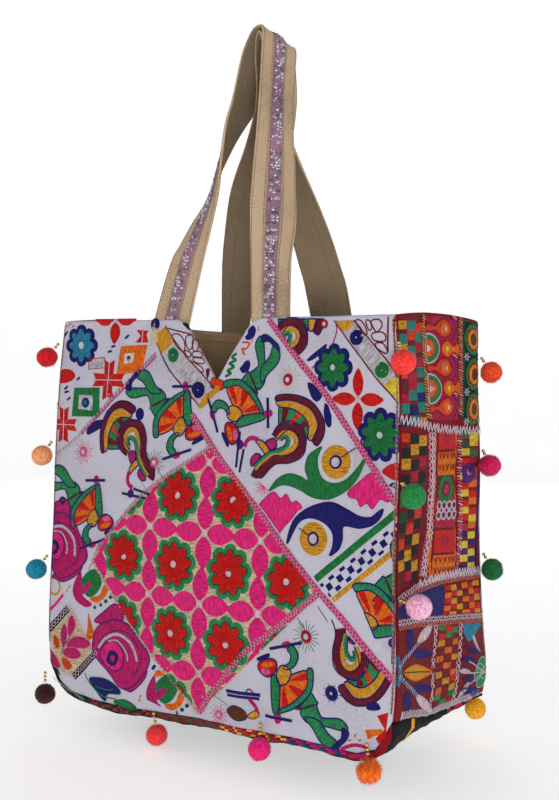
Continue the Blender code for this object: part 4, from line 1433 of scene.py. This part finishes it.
def base_surface():
    """The base: a dark pieced band that curves under into a flat floor."""
    rings = (0.0, 0.33, 0.66, 1.0, 1.35, 1.7, 2.0, 2.4, 2.7, 3.0, 3.3, 3.7, 4.0)
    wide, inner_ring, pieced = len(rings), 4, 6
    columns = list(columns_round(150, 66))
    count = len(columns)
    points, uv = [], []
    for side, share in columns:
        ease = 0.0022 * min(max((abs(share) - 0.866) / 0.134, 0), 1)
        top = float(seam_height(side, share)) - 0.0006 - ease
        edge = surface(side, share * float(panel_width(side, top)), top) + HANG
        for ring in rings:
            inward, height = (np.interp(ring, range(5), BASE_RINGS[:, i]) for i in (0, 1))
            x = edge[0] * (1 - inward * BASE_END_ROUND * 2 / BODY_WIDTH)
            y = edge[1] * (1 - inward * BASE_SIDE_ROUND * 2 / BODY_DEPTH)
            along, deep = x * 2 / BODY_WIDTH, y * 2 / BODY_DEPTH
            behind = min(max((1 + deep) / BASE_RISE_FROM, 0), 1)
            low = BASE_LOW + BASE_END_RISE * behind * abs(along) ** 4
            low -= LEFT_SAG * float(read(SAG, along)) * min(max(1 - deep, 0), 1)
            puff = 0.0004 * math.sin(x * 260) * math.cos(y * 240)
            if ring > 2.5:
                puff += 0.0012 * math.sin(x * 60) * math.sin(y * 50)
            z = low + (top - low) * height
            points.append(np.array((x, y, z + (puff if ring else 0.0))) - HANG)
            uv.append((1000 * (x + y), 1000 * (z + y)))
    faces, cloths = [], []
    for i, (side, share) in enumerate(columns):
        a, b = i * wide, (i + 1) % count * wide
        letters = next(item for limit, item in BASE_CLOTHS[side] if share <= limit)
        for k in range(wide - 1):
            faces.append((a + k, a + k + 1, b + k + 1, b + k))
            piece = ((i // 2) * 5 + (k // 2) * 3 + (i // 7)) % len(letters)
            cloths.append("black" if k > pieced else LETTERS[letters[piece]])
    faces.append(list(range(wide - 1, count * wide, wide)))
    cloths.append("black")
    names = sorted(set(cloths))
    build("base_cloth", points, faces, uv, [weave("base_" + n, COLOURS[n], 0.9, 1.5, 0.7)
          for n in names], [names.index(n) for n in cloths], cad="base_panel",
          thick=0.0016)
    last = np.array(points[wide - 1::wide])
    inner = np.array(points[wide - 1 - inner_ring::wide])
    inner = last.mean(0) + (inner - last.mean(0)) * (0.985, 0.95, 1) + (0, 0, 0.0075)
    points = np.concatenate((inner, last + (0, 0, 0.0078)))
    faces = grid_faces(2, count, True) + [tuple(range(count, 2 * count))]
    build("lining_floor", points, faces, points[:, :2] * 1000, [inner_canvas],
          smooth=False)


base_surface()

# straps ----------------------------------------------------------------------

# shares of the leg's reach, of half the depth and of the rise, turn, lean of the width
FRONT_STRAP = (
    (-1.015, -0.661, 0.203, -4, 0.02), (-0.844, -0.536, 0.351, -23, 0.10),
    (-0.748, -0.469, 0.427, -35, 0.16), (-0.674, -0.388, 0.539, -48, 0.24),
    (-0.552, -0.321, 0.653, -63, 0.32), (-0.450, -0.246, 0.729, -73, 0.36),
    (-0.363, -0.165, 0.804, -88, 0.38), (-0.274, -0.103, 0.897, -97, 0.39),
    (-0.185, -0.031, 0.961, -106, 0.39), (-0.104, -0.004, 0.991, -110, 0.39),
    (0.000, 0.000, 1.000, -110, 0.39), (0.096, -0.022, 0.991, -110, 0.37),
    (0.148, -0.054, 0.958, -109, 0.34), (0.185, -0.107, 0.884, -107, 0.30),
    (0.233, -0.173, 0.786, -105, 0.26), (0.356, -0.299, 0.632, -111, 0.20),
    (0.422, -0.362, 0.555, -119, 0.16), (0.541, -0.487, 0.405, -134, 0.10),
    (0.607, -0.549, 0.331, -155, 0.06), (0.704, -0.665, 0.190, -177, 0.02),
)
BACK_STRAP = (
    (-1.021, 0.330, 0.236, -171, 0.02), (-0.733, 0.241, 0.469, -146, 0.06),
    (-0.459, 0.205, 0.619, -118, 0.08), (-0.260, 0.152, 0.744, -101, 0.12),
    (-0.158, 0.094, 0.833, -101, 0.20), (-0.114, 0.040, 0.921, -106, 0.30),
    (-0.068, 0.016, 0.978, -110, 0.36), (0.000, 0.000, 1.000, -110, 0.38),
    (0.062, -0.009, 0.978, -108, 0.34), (0.078, 0.027, 0.903, -102, 0.24),
    (0.075, 0.094, 0.802, -90, 0.12), (0.110, 0.170, 0.645, -55, 0.00),
    (0.178, 0.224, 0.506, -20, -0.08), (0.411, 0.315, 0.299, 14, -0.10),
    (0.603, 0.379, 0.132, 18, -0.06),
)


def strap_path(side, table):
    """Middles, width directions, faces and run down a strap, from tuck to tuck."""
    if side == "front":
        legs, reach, rise = ((-FRONT_LEG, 0.162), (FRONT_LEG, -0.165)), FRONT_LEG, STRAP_RISE
    else:
        legs = (BACK_LEG_SHIFT - BACK_LEG, 0.20), (BACK_LEG_SHIFT + BACK_LEG, -0.26)
        reach, rise = BACK_LEG, INNER_RISE
    half = STRAP_WIDTH / 2
    ends = []
    for x, lean in legs:
        rim = float(rim_height(side, x / half_width(RIM_HEIGHT, side)))
        leg = []
        for below in (STRAP_TUCK, STRAP_TUCK / 2, 0.0):
            pair = [surface(side, x - lean * below + a * half, rim - below, 0.0, STRAP_INSET, 0.0)
                    + HANG for a in (-1, 1)]
            leg.append(np.concatenate(pair if side == "front" else pair[::-1]))
        ends.append(leg)
    rows = []
    for out, deep, high, turn, lift in curved(table, False, 2):
        middle = np.array((0.0105 + out * reach, 0.0060 + deep * BODY_DEPTH / 2,
                           RIM_HEIGHT + high * rise))
        flat = math.sqrt(1 - lift * lift)
        way = np.array((*(ray(math.radians(turn)) * flat), lift)) * half
        rows.append(np.concatenate((middle - way, middle + way)))
    far = [np.concatenate((row[3:], row[:3])) for row in reversed(ends[1])]
    rows = curved(ends[0] + rows + far, False, 3)
    left, right = rows[:, :3] - HANG, rows[:, 3:] - HANG
    middle = (left + right) / 2
    across = right - left
    across /= np.linalg.norm(across, axis=1)[:, None]
    face = np.cross(across, np.gradient(middle, axis=0))
    face /= np.linalg.norm(face, axis=1)[:, None]
    run = np.concatenate(([0.0], np.cumsum(np.linalg.norm(np.diff(middle, axis=0), axis=1))))
    return middle, across, face, run


def swept(name, path, profile, materials, cad, which=None):
    """A closed section swept along a strap path."""
    middle, across, face, run = path
    points = [m + w * a + f * o for m, w, f in zip(middle, across, face) for a, o in profile]
    uv = [(a * 1000, along * 1000) for along in run for a, _ in profile]
    wide, count = len(profile), len(middle)
    faces = grid_faces(count, wide, True)
    faces += [tuple(range(wide))[::-1], tuple(range((count - 1) * wide, count * wide))]
    build(name, points, faces, uv, materials, which, cad=cad)


SEQUIN = ((0.36, 0.0002), (0.50, 0.0007), (0.82, 0.0007), (1.08, 0.0))
SEQUIN_SIDES = 10


def strap(side, table):
    """A canvas strap, its inner face in a darker copy of the canvas as painted shade, with its trim
    ribbon, its rows of stitches and its sequins.
    """
    path = strap_path(side, table)
    run = path[3]
    half, thin = STRAP_WIDTH / 2, STRAP_THICK / 2
    section = [(half * a, thin * o) for a, o in (
        (-1, 0), (-0.985, 0.8), (-0.95, 1.1), (-0.88, 1), (-0.4, 0.85), (0, 0.9), (0.4, 0.85),
        (0.88, 1), (0.95, 1.1), (0.985, 0.8), (1, 0))]
    section = (section + [(a, -o) for a, o in reversed(section[1:-1])])[::-1]
    inward = [int(a[1] + b[1] < -thin) for a, b in zip(section, section[1:] + section[:1])]
    # painted shade: the inner face takes the canvas at about half its brightness, standing in for
    # the shadow that falls on that side
    inside = weave("strap_inside_cloth", (0.235, 0.172, 0.110), 1.1, 1.20, 0.76)
    swept("strap_%s_cloth" % side, path, section, [canvas, inside],
          "strap_" + side, inward * (len(run) - 1) + [0, 0])
    trim, cut = TRIM_WIDTH / 2, 6
    band = ((1, 0.0013), (1, 0.0022), (0.8, 0.0027), (0, 0.0029), (-0.8, 0.0027), (-1, 0.0022),
            (-1, 0.0013))
    swept("trim_%s_ribbon" % side, [item[cut:-cut] for item in path],
          [(trim * a, o) for a, o in band],
          [weave("trim_cloth", (0.25, 0.135, 0.185), 0.8, 1.4, 0.7)], "trim_" + side)

    def spot(along, a, o):
        m, w, f = (np.array([np.interp(along, run, item[:, i]) for i in range(3)])
                   for item in path[:3])
        return m + w * a + f * o, w, f

    points, faces = [], []
    for a in (-half * 0.93, -half * 0.40, half * 0.40, half * 0.93):
        for sign in (1, -1):
            for along in np.arange(0.02, run[-1] - 0.02, 0.0042):
                faces += grid_faces(2, 3, first=len(points))
                for step in (0.0, 0.0030):
                    for da, do in ((-0.0006, 0.0), (0.0, 0.0006), (0.0006, 0.0)):
                        out = sign * (thin * (1.1 if abs(a) > half / 2 else 0.9) + do)
                        points.append(spot(along + step, a + da, out)[0])
    build("strap_%s_stitches" % side, points, faces, np.array(points)[:, :2] * 1000,
          [thread("tan")])
    points, faces, which = [], [], []
    along = run[cut] + 0.004
    while along < run[-cut - 1] - 0.003:
        row = ((-0.0045, 0.0019), (0.0, 0.0021), (0.0045, 0.0019)) if random.random() < 0.55 else (
            (-0.0052, 0.0013), (-0.0020, 0.0023), (0.0030, 0.0016), (0.0060, 0.0012))
        for a, radius in row:
            if random.random() < 0.22:
                continue
            p, w, f = spot(along + random.uniform(-0.0008, 0.0008),
                           a + random.uniform(-0.0006, 0.0006), 0.0030)
            ahead = np.cross(f, w)
            tilt = f + w * random.uniform(-0.22, 0.22) + ahead * random.uniform(-0.22, 0.22)
            tilt /= np.linalg.norm(tilt)
            side_a = np.cross(tilt, ahead)
            side_a /= np.linalg.norm(side_a)
            side_b = np.cross(tilt, side_a)
            shade = random.random()
            faces += grid_faces(len(SEQUIN), SEQUIN_SIDES, True, first=len(points))
            which += [0 if shade < 0.55 else (1 if shade < 0.8 else 2)] * (
                (len(SEQUIN) - 1) * SEQUIN_SIDES)
            for share, lift in SEQUIN:
                for k in range(SEQUIN_SIDES):
                    c, s = ray(k * math.tau / SEQUIN_SIDES) * radius * share
                    points.append(p + side_a * c + side_b * s + tilt * lift)
        along += 0.0040 if random.random() < 0.93 else 0.009
    build("trim_%s_sequins" % side, points, faces, None,
          [shiny("sequin_silver", (0.62, 0.60, 0.66), 0.24, 1.0),
           shiny("sequin_mauve", (0.36, 0.22, 0.30), 0.35, 0.8),
           shiny("sequin_dark", (0.16, 0.14, 0.18), 0.30, 1.0)], which)


strap("front", FRONT_STRAP)
strap("back", BACK_STRAP)

# mirrors ---------------------------------------------------------------------

GLASS_SIDES, GLASS_MIDDLE = 18, 1.42
GLASS = ((0.5, 1.40), (0.85, 1.34), (1.0, 1.15))


def mirrors(side):
    """The mirrors of one panel, each a little tilted."""
    points, faces = [], []
    for where, centre, radius in MIRRORS:
        if where != side:
            continue
        first = len(points)
        tilt = np.array((random.uniform(-0.12, 0.12), random.uniform(-0.12, 0.12)))
        flat = [(*centre, GLASS_MIDDLE)]
        for share, lift in GLASS:
            for s in range(GLASS_SIDES):
                way = ray(s * math.tau / GLASS_SIDES) * radius * share
                flat.append((*(centre + way), lift + way @ tilt * 0.5))
        points += list(surface(side, *(np.array(flat).T / 1000)))
        faces += [(first, first + 1 + s, first + 1 + (s + 1) % GLASS_SIDES)
                  for s in range(GLASS_SIDES)]
        faces += grid_faces(len(GLASS), GLASS_SIDES, True, True, first + 1)
    build("mirrors_" + side, points, faces, None,
          [shiny("mirror_glass", (0.50, 0.51, 0.52), 0.12, 1.0)])


for side in ("front", "back", "left", "right"):
    mirrors(side)

# tufts and beads -------------------------------------------------------------

WOOL = {
    "red": (0.62, 0.006, 0.008), "peach": (0.88, 0.34, 0.14), "teal": (0.0, 0.22, 0.34),
    "coral": (0.95, 0.035, 0.03), "green": (0.01, 0.22, 0.05), "pink": (0.86, 0.42, 0.58),
    "orange": (0.80, 0.07, 0.015), "crimson": (0.60, 0.005, 0.10),
    "dark_green": (0.005, 0.13, 0.03), "maroon": (0.045, 0.006, 0.008),
    "bright_orange": (0.95, 0.15, 0.01), "yellow": (0.90, 0.38, 0.01),
    "coral_red": (0.85, 0.04, 0.04), "hot_pink": (0.80, 0.01, 0.18),
}
TUFTS = """
front_left_1=red front_left_2=peach front_left_3=teal front_right_1=coral front_right_2=green
front_right_3=pink back_right_1=orange back_right_2=crimson back_right_3=dark_green
back_left_1=red back_left_2=peach back_left_3=teal front_left_corner=maroon
front_right_corner=bright_orange back_right_corner=yellow back_left_corner=yellow
bottom_front_left=coral_red bottom_front_right=hot_pink bottom_back_left=coral_red
bottom_back_right=hot_pink
"""


def random_way():
    return np.array(Vector([random.gauss(0, 1) for _ in range(3)]).normalized())


def tuft(name, wool):
    """A ball of clipped yarn: soft lobes and a fur of short fibres."""
    low, high = (np.array(c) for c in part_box("pompom_" + name))
    middle = (low + high) / 2
    ragged = name == "front_right_corner"
    bm = bmesh.new()
    bmesh.ops.create_icosphere(bm, subdivisions=4, radius=POMPOM * 0.90)
    lumps = [random_way() for _ in range(14)]
    plump = np.array([random.uniform(*span) for span in ((0.98, 1.08), (0.98, 1.08), (0.92, 1.02))])
    for vert in bm.verts:
        way = np.array(vert.co.normalized())
        near = max(float(way @ lump) for lump in lumps)
        swell = 0.99 + 0.07 * near ** 6 + random.uniform(-0.015, 0.015)
        if ragged:
            swell *= 1.0 - 0.25 * max(way[2], 0) + 0.08 * math.sin(9 * way[0] + 5 * way[1])
        vert.co = Vector(way * POMPOM * 0.95 * swell * plump + middle)
    build_round("tuft_" + name, bm, yarn(wool), "pompom_" + name)
    points, faces = [], []
    for _ in range(1500):
        way = random_way()
        tip = way + np.array(Vector([random.gauss(0, 1) for _ in range(3)])) * 0.35
        tip /= np.linalg.norm(tip)
        side = np.cross(way, np.array((0.3, 0.5, 0.81)))
        side *= 0.00026 / max(np.linalg.norm(side), 1e-6)
        reach = POMPOM * random.uniform(*((0.9, 1.28) if ragged else (1.0, 1.13)))
        root = middle + way * POMPOM * 0.84
        half = middle + (way * 0.6 + tip * 0.4) * reach * 0.94
        n = len(points)
        points += [root - side, root + side, half - side, half + side, middle + tip * reach]
        faces += [(n, n + 1, n + 3, n + 2), (n + 2, n + 3, n + 4)]
    build("fibres_" + name, points, faces, None, [yarn(wool)])


def beads(name):
    """Two or three brass beads on a thread, between the seam and the tuft."""
    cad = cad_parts["beads_" + name]
    spots = np.array([tuple(cad.matrix_world @ v.co) for v in cad.data.vertices])
    centre = spots.mean(0)
    axis = np.linalg.svd(spots - centre)[2][0]
    run = (spots - centre) @ axis
    low, high = run.min(), run.max()
    count = 3 if high - low > 0.0095 else 2
    bm = bmesh.new()
    for k in range(count):
        at = centre + axis * (low + (high - low) / count * (k + 0.5))
        ball = bmesh.ops.create_uvsphere(bm, u_segments=18, v_segments=12, radius=BEAD * 1.02)
        for vert in ball["verts"]:
            vert.co = Vector(np.array(vert.co) * (1, 1, 0.92) + at)
    brass = shiny("bead_brass", (0.72, 0.46, 0.14), 0.24, 1.0, 0.7)
    build_round("brass_" + name, bm, brass, "beads_" + name)


for word in TUFTS.split():
    name, wool = word.split("=")
    tuft(name, wool)
    beads(name)

# stage, light and camera -----------------------------------------------------


def stage_floor():
    """A pale round floor that curves up into a low wall far from the bag."""
    sides = 64
    profile = [(0.5, 0.0), (2.0, 0.0)] + [
        (4.0 + 1.5 * math.sin(t), 1.5 - 1.5 * math.cos(t))
        for t in np.linspace(0.0, math.pi / 2, 8)] + [(5.5, 4.2)]
    low = float(cad_box[0][2]) - 0.004
    points = [(0.0, 0.0, low)] + [(*(ray(k * math.tau / sides) * reach), low + z)
                                  for reach, z in profile for k in range(sides)]
    faces = [(0, 1 + k, 1 + (k + 1) % sides) for k in range(sides)]
    mesh = bpy.data.meshes.new("floor")
    mesh.from_pydata(points, [], faces + grid_faces(len(profile), sides, True, True, 1))
    mesh.shade_smooth()
    made = bpy.data.objects.new("floor", mesh)
    bpy.context.scene.collection.objects.link(made)
    paper, tree, shader = nodes_of("pale_paper", Roughness=0.95, Emission_Strength=0.46,
                                   Emission_Color=(1.0, 1.0, 1.0, 1))
    speckle = node(tree, "TexNoise", Scale=3.0, Detail=3.0)
    tint(tree, shader, speckle.outputs["Fac"], 0.3, 0.7, (0.78, 0.78, 0.79), (0.82, 0.82, 0.82))
    mesh.materials.append(paper)


stage_floor()


def area_light(name, at, target, size, power):
    data = bpy.data.lights.new(name, "AREA")
    data.shape = "RECTANGLE"
    data.size = data.size_y = size
    data.energy = power
    made = bpy.data.objects.new(name, data)
    made.location = at
    made.rotation_euler = (Vector(target) - Vector(at)).to_track_quat("-Z", "Y").to_euler()
    bpy.context.scene.collection.objects.link(made)


area_light("key_light", (1.2, -1.35, -0.55), (0.05, 0, -0.62), 0.6, 11)
area_light("fill_light", (-1.7, -1.5, 0.9), (0, 0, -0.4), 1.6, 2)
area_light("back_light", (-1.3, 2.0, 0.4), (0, 0, -0.5), 1.2, 9)
world = bpy.data.worlds.new("studio")
world.use_nodes = True
settle(world.node_tree.nodes["Background"], Color=(1.0, 1.0, 1.0, 1), Strength=0.22)
bpy.context.scene.world = world
bpy.context.scene.view_settings.view_transform = "Standard"

lens = bpy.data.cameras.new("camera")
lens.lens = 48.67
lens.sensor_width = 36.0
camera = bpy.data.objects.new("camera", lens)
turn, tip, roll = math.radians(34.31), math.radians(2.06), math.radians(0.36)
behind = np.array((math.sin(turn) * math.cos(tip), -math.cos(turn) * math.cos(tip), math.sin(tip)))
level = np.array((math.cos(turn), math.sin(turn), 0.0))
upward = np.cross(behind, level)
axes = np.stack((level * math.cos(roll) + upward * math.sin(roll),
                 upward * math.cos(roll) - level * math.sin(roll), behind,
                 (0.7088, -1.0255, -0.3606)), 1)
camera.matrix_world = Matrix([*axes.tolist(), (0, 0, 0, 1)])
bpy.context.scene.collection.objects.link(camera)
bpy.context.scene.camera = camera
